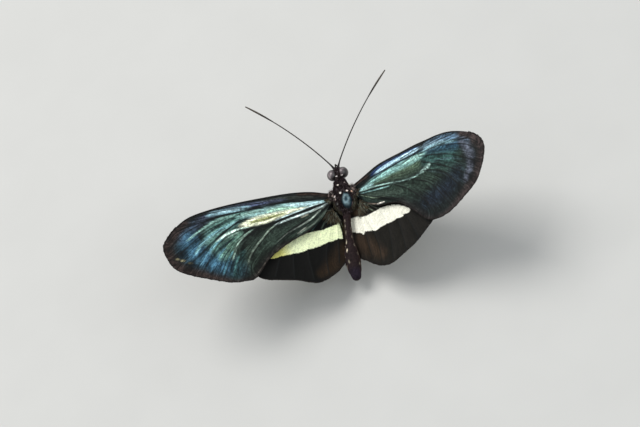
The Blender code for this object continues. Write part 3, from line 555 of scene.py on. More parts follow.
        ("#a8cfc4", 0.6, 1, ((13.4, -1.95, 0.4), (16.6, -2.45, 0.7), (19.4, -2.85, 0.5))),
        ("#1f3446", 0.93, 0.8, ((3.8, -0.2, 0.14), (6.1, -0.34, 0.2), (9.2, -0.68, 0.24),
         (13.5, -1.18, 0.24), (17.7, -1.75, 0.22), (21, -2.1, 0.14))),
        ("#4d5a55", 0.6, 1, ((18.9, -0.6, 0.2), (19.2, -1.8, 0.26), (19.4, -2.6, 0.18))),
        ("#a2cccb", 0.96, 0.95, ((0.4, -1, 0.4), (2.6, -1.15, 0.7), (5.4, -1.7, 0.4))),
        ("#7ea59b", 0.7, 1, ((4, -1.3, 0.16), (7, -1.9, 0.2), (10.2, -2.4, 0.14))),
        ("#9fc4bb", 0.9, 0.85, ((1, -1.3, 0.2), (5, -2.25, 0.24), (7.9, -3.3, 0.24),
         (11.4, -4.75, 0.26), (13.7, -5.55, 0.26), (16.1, -6.1, 0.26), (19.4, -6.1, 0.22))),
        ("#a2c2ba", 0.85, 1, ((17.6, -6.1, 0.4), (19.3, -6, 0.75), (20.8, -5.6, 0.36))),
        ("#8ab3b0", 0.9, 0.9, ((1, -1.65, 0.16), (4.3, -2.75, 0.2), (6.9, -3.65, 0.18), (9.6, -4.5, 0.1))),
        ("#35423a", 0.8, 1, ((2.6, -2.8, 0.6), (7, -4.9, 1.1), (12, -7, 1))),
        ("#090c0d", 0.93, 0.8, ((0.6, -1.6, 0.16), (2.6, -3, 0.24), (4.5, -4.5, 0.28),
         (7.8, -6.5, 0.26), (12.4, -8.7, 0.14))),
        ("#71826f", 0.8, 0.9, ((1, -1.9, 0.14), (2.9, -3.2, 0.18), (5.3, -4.85, 0.2), (8, -5.9, 0.12))),
        ("#85756a", 0.8, 1, ((1, -3.2, 0.14), (3.4, -5.1, 0.18), (6, -6.5, 0.14))),
        ("#ece7dc", 0.97, 0.9, ((5.2, -6.2, 0.14), (6.3, -6.5, 0.24), (7.4, -6.85, 0.14))),
        ("#39464a", 0.6, 1, ((19.4, -6.6, 0.2), (23.6, -9.6, 0.24), (26.6, -13, 0.16))),
        ("#40535a", 0.6, 1, ((21, -5.4, 0.2), (25.5, -7.2, 0.26), (29, -9.4, 0.18))),
    ),
}
FOREWING_EDGE = {"left": "#2d2523", "right": "#332b2a"}
# Pale flecks near the left forewing's outer edge: a painted reflection of a leaf
LEAF_REFLECTION_TINT = "#8c8668"
LEAF_REFLECTION_FLECKS = ((32.3, -11.7, 0.45), (31.3, -12.05, 0.5), (30.0, -12.8, 0.45))
HINDWING_GROUND = {"left": "#070706", "right": "#181613"}
HINDWING_STROKES = {
    "left": (
        ("#281d12", 0.9, 1, ((0, -9, 2.6), (2.6, -11.8, 3), (6, -13.8, 1.6))),
        # A dark olive strip along the inner edge, beside the abdomen
        ("#34301a", 0.9, 0.8, ((-1.2, -3.2, 0.6), (-1.3, -6.5, 0.75), (-1.1, -9.6, 0.5))),
        ("#454f46", 0.85, 0.9, ((0, -0.6, 0.2), (1.8, -2.2, 0.26), (3.6, -4.4, 0.16))),
        ("#39423c", 0.8, 0.9, ((-1, -0.8, 0.2), (0.5, -2.4, 0.24), (1.5, -4.2, 0.14))),
        ("#3e5654", 0.8, 0.9, ((2.2, -1.6, 0.14), (4.2, -3.2, 0.2), (6, -5, 0.12))),
    ),
    "right": (
        ("#362a20", 0.9, 1, ((-1.5, -7.8, 2.4), (1.2, -10.4, 3), (5, -13.4, 1.8))),
        ("#6b5948", 0.95, 1, ((-3.4, 0.2, 1.2), (-1.6, -1.5, 1.5), (0.6, -2.9, 1))),
        ("#7c8674", 0.85, 0.9, ((-2, 0.2, 0.14), (1.1, -1.9, 0.2), (3.6, -3.9, 0.14))),
        ("#828c7c", 0.85, 0.9, ((-1, 0.4, 0.14), (1.9, -1.7, 0.18), (4.8, -3.9, 0.12))),
        ("#6b7264", 0.8, 0.9, ((-2.6, -0.4, 0.12), (-0.6, -2, 0.16), (0.8, -3.4, 0.1))),
    ),
}
HINDWING_BAND = {
    "left": (
        (-0.45, -2.6), (-0.2, -3.1), (0.3, -3.55), (2.9, -4.3), (5, -4.5), (8, -4.9), (11, -5.8),
        (14, -7.4), (15.3, -8.7), (14.7, -9.3), (13.5, -9.25), (11.7, -8.85), (10.1, -8.85),
        (8.5, -8.65), (6.4, -8.15), (4.4, -7.7), (2.3, -7.15), (0.6, -6.75), (-0.3, -6.8), (-0.5, -5.2)),
    "right": (
        (-6, -2.2), (-3.3, -2.6), (-1.4, -3), (1, -3.9), (3.2, -4), (5.4, -4), (7.8, -4.4), (9.9, -5.2),
        (11.9, -6.4), (13.1, -7.3), (13.3, -7.8), (12.8, -8.1), (11.7, -8.1), (10.4, -8.2), (8.3, -8),
        (7.1, -8), (4.9, -7.8), (3.3, -8), (1.2, -7.05), (0, -7.35), (-0.7, -6.7), (-3, -5.6), (-6, -4.6)),
}
# The right band is painted whiter than the left: painted light, as the right hindwing faces the light more
BAND_CREAM_WITH_LIGHT = {"left": "#f1fbcd", "right": "#fffeee"}
BAND_OCHRE = "#e8e384"
OCHRE_FROM = {"left": 9.6, "right": 15.0}  # outward of here the band turns ochre
BAND_UNDER = "#d8d49a"
OCHRE_TURN = 3.6  # width of the change to ochre
FRONT_BLACK = "#0b0b0c"
RIM_END = {"left": (34.6, 33.4), "right": (31.0, 28.0)}  # the black front edge fades out here
UNDER_GROUND = {"forewing": "#241f1c", "hindwing": "#1d1916"}
UNDER_STROKES = {
    "forewing": (
        ("#3a332c", 0.8, 0.8, ((2, -1.5, 1), (12, -3, 2.2), (19, -4.5, 1.8))),
        ("#2c2a2b", 0.8, 0.8, ((20, -6, 3), (27, -9, 4))),
    ),
    "hindwing": (
        ("#2b241d", 0.8, 0.9, ((2, -9, 3), (8, -12, 3), (15, -9, 3))),
        ("#7d2018", 0.95, 0.5, ((0.6, -0.2, 0.35), (1, -0.5, 0.4))),
        ("#7d2018", 0.95, 0.5, ((1.2, 1.3, 0.3), (2, 1.5, 0.3))),
        ("#8f8a58", 0.8, 0.6, ((0.5, 1.6, 0.18), (5, 2.6, 0.22), (8, 2.6, 0.15))),
    ),
}


# What the two kinds of wing are made of, and their steps back and down from the hinge
WINGS = {
    "forewing": {"margin": FOREWING_MARGIN, "veins": FOREWING_VEINS, "order": FOREWING_ORDER,
                 "sweep": FOREWING_SWEEP, "spread": FOREWING_SPREAD, "back": 0.0, "drop": 0.0, "seed": 21},
    "hindwing": {"margin": HINDWING_MARGIN, "veins": HINDWING_VEINS, "order": HINDWING_ORDER,
                 "sweep": HINDWING_SWEEP, "spread": HINDWING_SPREAD, "back": HINDWING_BACK,
                 "drop": HINDWING_DROP, "seed": 31},
}


def wing_camber(x):
    """Height of the sheet's middle over its plane: half a sine along the span."""
    return WING_CAMBER * np.sin(np.pi * np.clip(x / CAMBER_SPAN, 0.0, 1.0))


def swept_camber(flat, kind, label):
    """The camber at wing-plane points, with the span measured after the wing is swept."""
    turn = math.radians(WINGS[kind]["sweep"][label])
    return wing_camber(flat[:, 0] * math.cos(turn) - flat[:, 1] * math.sin(turn))


def wing_turn(label):
    """Rotation of a wing's plane in the body frame: pitch, then raise."""
    return rotation(Y, -SIDES[label] * WING_RAISE[label]) @ rotation(X, WING_PITCH[label])


def wing_to_body(points, kind, label):
    """Wing-plane points placed as the solids are: sweep about Z, step back and down, pitch, raise, hinge."""
    wing, mirror = WINGS[kind], [SIDES[label], 1.0, 1.0]
    swept = (points * mirror) @ rotation(Z, SIDES[label] * wing["sweep"][label]).T
    return (swept + [0.0, -wing["back"], -wing["drop"]]) @ wing_turn(label).T + HINGE * mirror


def vein_fields(points, kind, label):
    """Distance to the nearest vein, its width there, and the flow: the veins' order numbers averaged by
    closeness, which runs level along each vein and rises from one to the next."""
    wing = WINGS[kind]
    nearest = np.full(len(points), np.inf)
    taper = np.ones(len(points))
    total = np.zeros(len(points))
    weight = np.zeros(len(points))
    for number, knots in zip(wing["order"], wing["veins"].values()):
        gap, share = line_field(points, smooth_line(np.array(knots) * wing["spread"][label], 26))
        if number is None:
            gap = gap + CROSS_VEIN_FADE
        nearer = gap < nearest
        nearest = np.where(nearer, gap, nearest)
        taper = np.where(nearer, 1.0 - VEIN_TAPER * share, taper)
        if number is not None:
            pull = (gap * gap + FLOW_NEAR) ** FLOW_FALL
            total += pull * number
            weight += pull
    return nearest, taper, total / weight


def painted(points, ground, strokes):
    """Ground colour with each stroke laid over it in turn, strongest on its line. A narrow one fades at both
    ends and a wide one is rounded there."""
    paint = np.tile(colour(ground), (len(points), 1))
    for tint, strength, fade, knots in strokes:
        line = smooth_line(knots, 30)
        gap, share = line_field(points, line[:, :2])
        half = np.interp(share, np.linspace(0.0, 1.0, len(line)), line[:, 2])
        ends = smoothstep(0.0, STROKE_END, share) * smoothstep(1.0, 1.0 - STROKE_END, share)
        ends += (1.0 - ends) * smoothstep(0.45, 0.9, half)
        paint = laid(paint, tint, strength * ends * (1.0 - smoothstep(1.0 - fade, 1.0, gap / half)))
    return paint


def forewing_upper(points, label, edge, front):
    """Forewing colours from above: strokes with painted sheen, brown border, pale flecks of a painted
    leaf reflection, and a black front edge.
    """
    paint = painted(points, FOREWING_GROUND[label], FOREWING_STROKES_AND_SHEEN[label])
    outer = edge + 1.3 * smoothstep(29.0, 20.0, points[:, 0])
    paint = laid(paint, FOREWING_EDGE[label], 1.0 - smoothstep(0.6, 2.6, outer))
    if label == "left":
        # Painted leaf reflection: pale flecks on the left forewing only
        for x, y, half in LEAF_REFLECTION_FLECKS:
            gap = np.linalg.norm((points - [x, y]) * [0.7, 1.3], axis=1)
            paint = laid(paint, LEAF_REFLECTION_TINT, 0.7 * (1.0 - smoothstep(0.3, 1.0, gap / half)))
    gap, _ = line_field(points, front)
    rim = (1.0 - smoothstep(0.12, 0.42, gap)) * smoothstep(*RIM_END[label], points[:, 0])
    return laid(paint, FRONT_BLACK, rim)


def outward_of(line):
    """Unit directions square to a plane line, on its left."""
    ahead = unit(np.gradient(line, axis=0))
    return np.stack([-ahead[:, 1], ahead[:, 0]], axis=1)


def inset_margin(kind, label):
    """The margin as a smooth line, drawn in by the fringe's room except near the root, and the number of its
    point at the tip."""
    line = smooth_line(WINGS[kind]["margin"][label], MARGIN_POINTS)
    free = np.minimum(np.hypot(*(line - line[0]).T), np.hypot(*(line - line[-1]).T))
    line = line - outward_of(line) * (MARGIN_INSET * smoothstep(0.5, 2.5, free))[:, None]
    return line, int(np.argmax(line[:, 0]))


def two_faced(upper, lower):
    """Values of the upper and lower face joined ring by ring, the lower ones in reverse."""
    a = upper.reshape(SPAN_ROWS, CHORD_POINTS, -1)
    b = lower.reshape(SPAN_ROWS, CHORD_POINTS, -1)[:, ::-1]
    return np.concatenate([a, b], axis=1).reshape(2 * SPAN_ROWS * CHORD_POINTS, -1)


def wing_faces():
    """A closed ring of quads along the span, and a cap of quads at the root and at the tip."""
    ring = 2 * CHORD_POINTS
    k = np.arange(CHORD_POINTS - 1)
    root_cap = np.stack([k + 1, k, ring - 1 - k, ring - 2 - k], axis=1)
    tip_cap = root_cap[:, [1, 0, 3, 2]] + (SPAN_ROWS - 1) * ring
    return [grid_faces(SPAN_ROWS, ring), root_cap, tip_cap]


def tucked(flat, label):
    """How far the hindwing's sheet bends down at each point where it tucks in beside the body."""
    bend_x, bend_y = np.array(HINDWING_TUCK[label]).T
    inward = np.clip(np.interp(flat[:, 1], bend_y, bend_x) - flat[:, 0], 0.0, None)
    inward *= smoothstep(-2.6, -4.2, flat[:, 1]) * smoothstep(-12.6, -10.6, flat[:, 1])
    return TUCK_FALL * inward ** 2


def wing_colours(flat, kind, label, free, front):
    """Paint and the pale band's colour on both faces, and the distance into the band, below 0 outside."""
    down = painted(flat, UNDER_GROUND[kind], UNDER_STROKES[kind])
    pale_up = np.tile(colour(BAND_CREAM_WITH_LIGHT[label]), (len(flat), 1))
    pale_down = np.tile(colour(BAND_UNDER), (len(flat), 1))
    if kind == "forewing":
        up = forewing_upper(flat, label, free, front)
        band = np.full(len(flat), -1.0)
    else:
        up = painted(flat, HINDWING_GROUND[label], HINDWING_STROKES[label])
        band = inside_outline(flat, np.asarray(HINDWING_BAND[label]))
        turned = smoothstep(OCHRE_FROM[label], OCHRE_FROM[label] + OCHRE_TURN, flat[:, 0])
        pale_up = laid(pale_up, BAND_OCHRE, turned)
    colours = {"paint": two_faced(up, down), "pale": two_faced(pale_up, pale_down)}
    return colours, two_faced(band, band - 0.15)[:, 0]


def make_wing(kind, label, material):
    """A wing as a ruled sheet: point (t, s) lies the share s of the way from the leading half of the margin
    at t to the trailing half at t. The two faces share one rim and the veins rise as ridges on both. Between
    the veins the sheet sags into shallow pleats. The hindwing bends down beside the body."""
    margin, tip = inset_margin(kind, label)
    front = smooth_line(margin[: tip - TIP_HALF], SPAN_ROWS)
    hind = smooth_line(margin[: tip + TIP_HALF : -1], SPAN_ROWS)
    s = np.linspace(0.0, 1.0, CHORD_POINTS)[None, :, None]
    flat = (front[:, None] * (1.0 - s) + hind[:, None] * s).reshape(-1, 2)
    nearest, taper, flow = vein_fields(flat, kind, label)
    outline = np.vstack([front, hind[::-1]])
    edge, _ = line_field(flat, np.vstack([outline, outline[:1]]))
    free, _ = line_field(flat, np.vstack([front[-40:], hind[: len(hind) // 3 : -1]]))
    fold = 1.0 - np.exp(-((nearest / PLEAT_START) ** 2))
    middle = swept_camber(flat, kind, label) - PLEAT_DEPTH * fold * smoothstep(0.0, 1.2, edge)
    if kind == "hindwing":
        middle = middle - tucked(flat, label)
    ridge = VEIN_RISE * taper * np.exp(-((nearest / (VEIN_WIDTH * (0.6 + 0.4 * taper))) ** 2))
    half = MEMBRANE_HALF * (RIM_THIN + (1.0 - RIM_THIN) * smoothstep(0.0, 0.5, edge))
    upper = np.concatenate([flat, (middle + half + ridge)[:, None]], axis=1)
    lower = np.concatenate([flat, (middle - half - RIDGE_BELOW * ridge)[:, None]], axis=1)
    placed = to_world(wing_to_body(two_faced(upper, lower), kind, label))
    colours, band = wing_colours(flat, kind, label, free, front)
    fields = {"vein": nearest, "flow": flow, "run": np.hypot(*flat.T)}
    fields = {name: two_faced(values, values)[:, 0] for name, values in fields.items()}
    made = build(f"{kind}_{label}_sheet", placed, wing_faces(), material, {**fields, "band": band}, colours)
    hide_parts(f"{kind}_{label}")


DARK_VEIN = (0.006, 0.007, 0.007, 1.0)
STREAKS_ACROSS = 2.3  # noise units per step in the veins' order numbers
STREAKS_ALONG = 0.11  # noise units per millimetre out from the hinge
FINE_ACROSS = 3.2  # how much finer the glints are than the streaks
FINE_ALONG = 4.0


def wing_material(name, roughness, sheen_streak_low, sheen_streak_high, glint):
    """Scaled wing: painted markings times streaks of scale tone and painted sheen that follow the veins,
    finer painted glints along them and a mottle, then dark veins, a pale band with a ragged edge, scale
    speckle and bump."""
    made, tree, shader = new_material(name, roughness, Specular_IOR_Level=0.14)
    vein = attribute(tree, "vein")
    across = math_node(tree, "MULTIPLY", attribute(tree, "flow"), STREAKS_ACROSS)
    along = math_node(tree, "MULTIPLY", attribute(tree, "run"), STREAKS_ALONG)
    flow = node(tree, "ShaderNodeCombineXYZ", {"X": across, "Y": along}).outputs[0]
    # Streaks along the veins: scale tone and painted sheen, with finer painted glints on them
    streak = spread(tree, noise(tree, flow, 1.0, 3.0, 0.6), 0.36, 0.64, sheen_streak_low, sheen_streak_high)
    fine_across = math_node(tree, "MULTIPLY", across, FINE_ACROSS)
    fine_along = math_node(tree, "MULTIPLY", along, FINE_ALONG)
    fine_flow = node(tree, "ShaderNodeCombineXYZ", {"X": fine_across, "Y": fine_along}).outputs[0]
    fine = spread(tree, noise(tree, fine_flow, 1.0, 3.0, 0.6), 0.36, 0.64, 1.0 - glint, 1.0 + glint)
    place = own_place(tree)
    mottle = spread(tree, noise(tree, place, 2100.0, 2.0, 0.6), 0.36, 0.64, 1.0 - 0.5 * glint,
                    1.0 + 0.5 * glint)
    streaked = times(tree, times(tree, attribute(tree, "paint", "Color"), streak),
                     times(tree, fine, mottle))
    veined = mix(tree, spread(tree, vein, 0.05, 0.22, 0.72, 0.0), streaked, DARK_VEIN)
    rough_edge = math_node(tree, "SUBTRACT", noise(tree, place, 4200.0, 4.0), 0.5)
    ragged = math_node(tree, "MULTIPLY", rough_edge, 0.75)
    notch = spread(tree, vein, 0.05, 0.4, -0.12, 0.0)
    reach = math_node(tree, "ADD", attribute(tree, "band"), math_node(tree, "ADD", ragged, notch))
    tone = spread(tree, noise(tree, place, 1500.0, 3.0), 0.35, 0.65, 0.9, 1.0)
    pale = times(tree, attribute(tree, "pale", "Color"), tone)
    banded = mix(tree, spread(tree, reach, -0.06, 0.06), veined, pale)
    speckle, height = scale_cover(tree, 0.00015, 0.45)
    tree.links.new(times(tree, banded, speckle), shader.inputs["Base Color"])
    bump(tree, shader, height, 0.00002, 0.5)
    return made


# One fringe scale: five corners above and the same below, wide in the middle and pointed at the end
SCALE_FACES = np.array([
    [0, 1, 2], [0, 2, 4], [4, 2, 3], [6, 5, 7], [7, 5, 9], [7, 9, 8], [1, 0, 5], [1, 5, 6],
    [2, 1, 6], [2, 6, 7], [3, 2, 7], [3, 7, 8], [4, 3, 8], [4, 8, 9], [0, 4, 9], [0, 9, 5]])
SCALE_UV = np.array([[0, 0], [1, 0], [1, 0.6], [0.5, 1], [0, 0.6]] * 2) - 0.5
TUFT_PATCH = 0.003  # side of each lock's patch in the coat's UV map


def make_fringe(kind, label, material):
    """Short flat scales standing out from the free margin, one thin lock each, set along the outer curve."""
    rng = np.random.default_rng(WINGS[kind]["seed"])
    margin, tip = inset_margin(kind, label)
    line = smooth_line(margin[int(0.85 * tip) : int(0.17 * tip + 0.83 * MARGIN_POINTS)], FRINGE_SCALES)
    starts = np.arange(0, FRINGE_SCALES, FRINGE_CLUMP)
    clump = np.interp(np.arange(FRINGE_SCALES), starts, rng.uniform(0.4, 1.0, len(starts)))
    length = FRINGE_LENGTH * clump * rng.uniform(0.6, 1.1, FRINGE_SCALES)
    lean = unit(outward_of(line) + 0.3 * rng.standard_normal((FRINGE_SCALES, 2)))
    level = rng.uniform(-0.04, 0.04, FRINGE_SCALES)
    wide = np.stack([-lean[:, 1], lean[:, 0]], axis=1) * FRINGE_HALF
    reach = lean * length[:, None]
    root = line - lean * FRINGE_ROOT
    flat = [root - wide, root + wide, line + reach * 0.6 + wide * 1.15, line + reach,
            line + reach * 0.6 - wide * 1.15]
    corners = [np.hstack([p, (swept_camber(p, kind, label) + level)[:, None]]) for p in flat]
    corners = np.stack(corners, axis=1)
    thick = np.array([0.0, 0.0, FRINGE_THICK])
    points = np.concatenate([corners + thick, corners - thick], axis=1).reshape(-1, 3)
    shade = rng.uniform(0.5, 1.3, FRINGE_SCALES)
    paint = np.repeat(colour(FRINGE_TINT)[None] * shade[:, None], 10, axis=0)
    uv = np.repeat(line / 45.0 + [0.1, 0.6], 10, axis=0)
    uv = uv + np.tile(SCALE_UV, (FRINGE_SCALES, 1)) * TUFT_PATCH
    made = build(f"{kind}_{label}_fringe", to_world(wing_to_body(points, kind, label)),
                 [repeated(SCALE_FACES, 10, FRINGE_SCALES)], material, None, {"paint": paint}, uv)


# Body: one skin from face to tail tip

FACE_Y = 6.15
TAIL_Y = -17.2
WAIST_Y = -3.6
HEAD_CENTRE = np.array([0.0, 4.8, 1.0])
HEAD_SEMI = np.array([1.5, 1.35, 1.35])
THORAX_CENTRE = np.array([0.0, -0.35, 0.0])
THORAX_SEMI = np.array([2.15, 3.35, 2.45])
# y, middle x, middle z, half width, half height
FRONT_STATIONS = (
    (6.15, 0.04, 0.85, 0.74, 1), (5.6, 0.12, 0.92, 0.74, 1.1), (4.9, 0.16, 0.98, 0.74, 1.15),
    (4.3, 0.12, 1, 0.72, 1.06), (3.85, 0.02, 0.95, 0.66, 0.84), (3.5, -0.1, 0.85, 0.66, 0.74),
    (3.2, -0.15, 0.78, 0.78, 0.88), (2.9, -0.18, 0.7, 0.92, 1.12), (2.3, -0.17, 0.5, 1.2, 1.52),
    (1.5, -0.06, 0.25, 1.64, 2), (0.5, 0, 0.05, 2, 2.33), (-0.5, 0, 0, 2.08, 2.37),
    (-1.5, 0, 0, 1.93, 2.25), (-2.4, 0, 0.05, 1.52, 1.82), (-3, -0.1, 0, 1.08, 1.22),
    (-3.45, -0.26, -0.08, 0.72, 0.8),
)
ABDOMEN_START = np.array([-0.3, WAIST_Y, -0.1])
ABDOMEN_TIP = np.array([-1.45, TAIL_Y, -1.5])
ABDOMEN_RADII = (
    (0.06, 0.64), (0.15, 0.62), (0.3, 0.66), (0.43, 0.78), (0.54, 1.08), (0.66, 1.34), (0.78, 1.3),
    (0.89, 1.02), (0.97, 0.72), (1, 0.55),
)
ABDOMEN_SEGMENTS = 8
SEGMENT_STEP = 0.07


def body_stations():
    """All stations from the face to the tail: the abdomen's middle swings left early and sags late."""
    rows = [np.array(FRONT_STATIONS)]
    t, radius = np.array(ABDOMEN_RADII).T
    run = ABDOMEN_TIP - ABDOMEN_START
    x = ABDOMEN_START[0] + run[0] * (1.0 - (1.0 - t) ** 2)
    z = ABDOMEN_START[2] + run[2] * t ** 1.5
    rows.append(np.stack([ABDOMEN_START[1] + run[1] * t, x, z, radius, radius * 1.1], axis=1))
    return smooth_line(np.vstack(rows), 400)


STATIONS = body_stations()


def body_point(turn, y):
    """Skin point in the body frame: an ellipse at each y, turn 0 on the back, a quarter turn on the right,
    rounded off at the face and the tail, stepped in at each abdomen segment's rear edge."""
    order = STATIONS[::-1]
    x, z, width, height = (np.interp(y, order[:, 0], order[:, k]) for k in range(1, 5))
    face = np.sqrt(np.clip(1.0 - np.clip((y - (FACE_Y - 1.0)) / 1.0, 0.0, 1.0) ** 2, 0.0, 1.0))
    tail = np.sqrt(np.clip(1.0 - np.clip((TAIL_Y + 0.7 - y) / 0.7, 0.0, 1.0) ** 2, 0.0, 1.0))
    t = np.clip((WAIST_Y - y) / (WAIST_Y - TAIL_Y), 0.0, 1.0) * ABDOMEN_SEGMENTS
    saw = (t % 1.0) ** 1.5 * smoothstep(0.0, 0.12, 1.0 - t % 1.0) * smoothstep(0.0, 0.4, t)
    size = face * tail * (1.0 + SEGMENT_STEP * saw)
    crease = 1.0 - 0.05 * np.exp(-((turn / 0.1) ** 2)) * smoothstep(-3.0, -2.0, y) * smoothstep(3.0, 2.0, y)
    return np.stack([x + width * size * np.sin(turn), y, z + height * size * crease * np.cos(turn)], axis=-1)


def body_normal(turn, y):
    """Outward normal of the skin from differences along turn and y."""
    step = 1e-3
    d_turn = body_point(turn + step, y) - body_point(turn - step, y)
    d_y = body_point(turn, y + step) - body_point(turn, y - step)
    return unit(np.cross(d_turn, d_y))


BODY_ROWS = 460
BODY_RING = 150


def ring_stations():
    """Positions along Y, closer together at the two rounded ends."""
    s = np.linspace(0.0, 1.0, BODY_ROWS)
    eased = s - 0.035 * np.sin(2.0 * np.pi * s)
    ends = 0.0005
    return FACE_Y - ends + (TAIL_Y - FACE_Y + 2.0 * ends) * eased


def body_uv(turn, y):
    """Place in the coat's UV map: once round the body across, tail to face upward."""
    return np.stack([turn / (2.0 * np.pi) + 0.5, (y - TAIL_Y) / (FACE_Y - TAIL_Y)], axis=1)


# Pale scale tufts on head, collar, thorax and tegulae: place in the body frame, radius and colour
PALE_SPOTS = (
    (-0.27, 3.9, 1.76, 0.17, "#efe9e6"), (0.7, 3.95, 1.56, 0.2, "#f6f0ec"),
    (-0.36, 1.65, 2.36, 0.19, "#e9e2d6"), (0.84, 2.21, 1.6, 0.13, "#b9aaa6"),
    (1.62, 1.65, 1.12, 0.2, "#d9cfc2"), (-0.24, -0.12, 2.36, 0.23, "#fffaf2"),
    (1.05, -0.05, 2.3, 0.22, "#fbeee6"), (1.85, -0.2, 1.84, 0.22, "#efc9ae"),
    (-1.5, -0.25, 1.8, 0.22, "#efe4de"), (-1.45, -0.78, 1.68, 0.16, "#cbb7ae"),
    (-1.32, -1.75, 1.52, 0.2, "#8b8a88"), (-2.35, -1.1, 0, 0.2, "#96796f"),
    (-2.6, 0.5, 1.52, 0.28, "#8e7d78"), (-1.85, 0.05, 1.82, 0.26, "#a08e88"),
    (2.2, 0.25, 1.84, 0.34, "#a6938d"), (-1.75, 1.35, 1.36, 0.24, "#8f7783"),
)
# Pale marks on the abdomen's segments: turn in degrees from the back, place along Y, half length, strength
ABDOMEN_MARKS = (
    (-36, -5.2, 0.35, 0.5), (-36, -6.3, 0.5, 0.6), (-34, -7.7, 0.5, 0.6), (-35, -9.6, 0.6, 1),
    (-27, -11.6, 0.55, 1), (-25, -13.9, 0.45, 0.45), (-70, -8.7, 0.4, 0.6), (-70, -10.5, 0.5, 0.8),
    (-70, -12.6, 0.5, 0.9), (-70, -14.4, 0.4, 0.7), (62, -6.9, 0.3, 0.3), (62, -8.7, 0.35, 0.4),
    (62, -10.5, 0.45, 0.4), (70, -12.4, 0.4, 0.35), (70, -14.4, 0.35, 0.35),
)
MARK_HALF_TURN = 9.0  # degrees round the body
SPOT_SCALES = 60
SPOT_SCALE_HALF = 0.05
SPOT_OVER = 0.1  # how far over their place the scales are rooted
# The shiny oval on the rear of the back is a painted reflection: a dark core, a pale rim, a dark outer ring
SHEEN_CENTRE = (0.52, -1.62)
SHEEN_HALF = (0.96, 1.5)
SHEEN_LEAN = 0.08  # sideways per forward
SHEEN_RIM = "#6f868d"
SHEEN_OUTER = "#182e37"
SHEEN_CORE = "#223d4a"
BODY_DARK = "#1b1314"
ABDOMEN_DARK = "#2d2223"
FLANK_BROWN = "#4a382e"
BELLY_PALE = "#8c8260"
TIP_PLUM_SHEEN = "#221d33"
MARK_CREAM = "#cfc4ad"


def body_paint(points, turn):
    """Body colours: brown-black, brown flanks on the abdomen, paler belly, pale spots and marks, and a
    painted plum sheen on the tail.
    """
    rear = smoothstep(-3.4, -4.2, points[:, 1])
    paint = laid(np.tile(colour(BODY_DARK), (len(points), 1)), ABDOMEN_DARK, rear)
    flank = rear * smoothstep(0.9, 1.5, np.abs(turn)) * smoothstep(2.6, 1.9, np.abs(turn)) * 0.5
    paint = laid(paint, FLANK_BROWN, flank)
    paint = laid(paint, BELLY_PALE, smoothstep(2.0, 2.6, np.abs(turn)) * 0.6)
    for x, y, z, radius, tint in PALE_SPOTS:
        gap = np.linalg.norm(points - [x, y, z], axis=1) / radius
        paint = laid(paint, tint, 0.97 * (1.0 - smoothstep(0.7, 1.2, gap)))
    # Painted sheen: the tail's tip tinted dark plum
    paint = laid(paint, TIP_PLUM_SHEEN, smoothstep(-14.6, -16.0, points[:, 1]) * 0.5)
    for angle, y, half, strength in ABDOMEN_MARKS:
        gap = np.hypot((np.degrees(turn) - angle) / MARK_HALF_TURN, (points[:, 1] - y) / half)
        paint = laid(paint, MARK_CREAM, strength * (1.0 - smoothstep(0.5, 1.2, gap)))
    return paint


def sheen_field(points):
    """Distance from the middle of the shiny oval on the rear of the back, whose colours are a painted
    reflection, 1 on its rim, and its mask.
    """
    forward = points[:, 1] - SHEEN_CENTRE[1]
    aside = points[:, 0] - SHEEN_CENTRE[0] - SHEEN_LEAN * forward
    gap = np.hypot(aside / SHEEN_HALF[0], forward / SHEEN_HALF[1])
    return gap, (1.0 - smoothstep(0.85, 1.15, gap)) * smoothstep(0.5, 1.2, points[:, 2])


def make_skin(material):
    """The whole body's skin, which stands for head, thorax and abdomen."""
    turn = np.linspace(0.0, 2.0 * np.pi, BODY_RING, endpoint=False)
    wrapped = np.where(turn > np.pi, turn - 2.0 * np.pi, turn)
    y, turn = (grid.ravel() for grid in np.meshgrid(ring_stations(), wrapped, indexing="ij"))
    y = np.concatenate([y, [FACE_Y, TAIL_Y]])
    turn = np.concatenate([turn, [0.0, 0.0]])
    points = body_point(turn, y)
    gap, mask = sheen_field(points)
    # Painted reflection on the oval: dark core, pale rim, dark outer ring
    shine = np.tile(colour(SHEEN_CORE), (len(points), 1))
    shine = laid(shine, SHEEN_RIM, smoothstep(0.12, 0.46, gap))
    shine = laid(shine, SHEEN_OUTER, smoothstep(0.5, 0.88, gap))
    paint = body_paint(points, turn)
    paint += (shine - paint) * (mask * 0.95)[:, None]
    faces = ringed_faces(BODY_ROWS, BODY_RING)
    made = build("body_skin", to_world(points), faces, material, {"shine": mask}, {"paint": paint})
    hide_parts("head", "thorax", "abdomen")


def skin_material():
    """Dark scaled cuticle, mottled, with a smoother shine where the scales lie flat."""
    made, tree, shader = new_material("body_cuticle", 0.6, Specular_IOR_Level=0.2)
    tone = spread(tree, noise(tree, own_place(tree), 1800.0, 4.0), 0.3, 0.7, 0.6, 1.5)
    speckle, height = scale_cover(tree, 0.00013, 0.5)
    mottled = times(tree, attribute(tree, "paint", "Color"), tone)
    tree.links.new(times(tree, mottled, speckle), shader.inputs["Base Color"])
    tree.links.new(spread(tree, attribute(tree, "shine"), 0.0, 1.0, 0.6, 0.28), shader.inputs["Roughness"])
    bump(tree, shader, height, 0.00004, 0.6)
    return made


def flattened(lie, normals):
    """Directions laid into the surface, at length one."""
    return unit(lie - normals * np.sum(lie * normals, axis=1)[:, None])


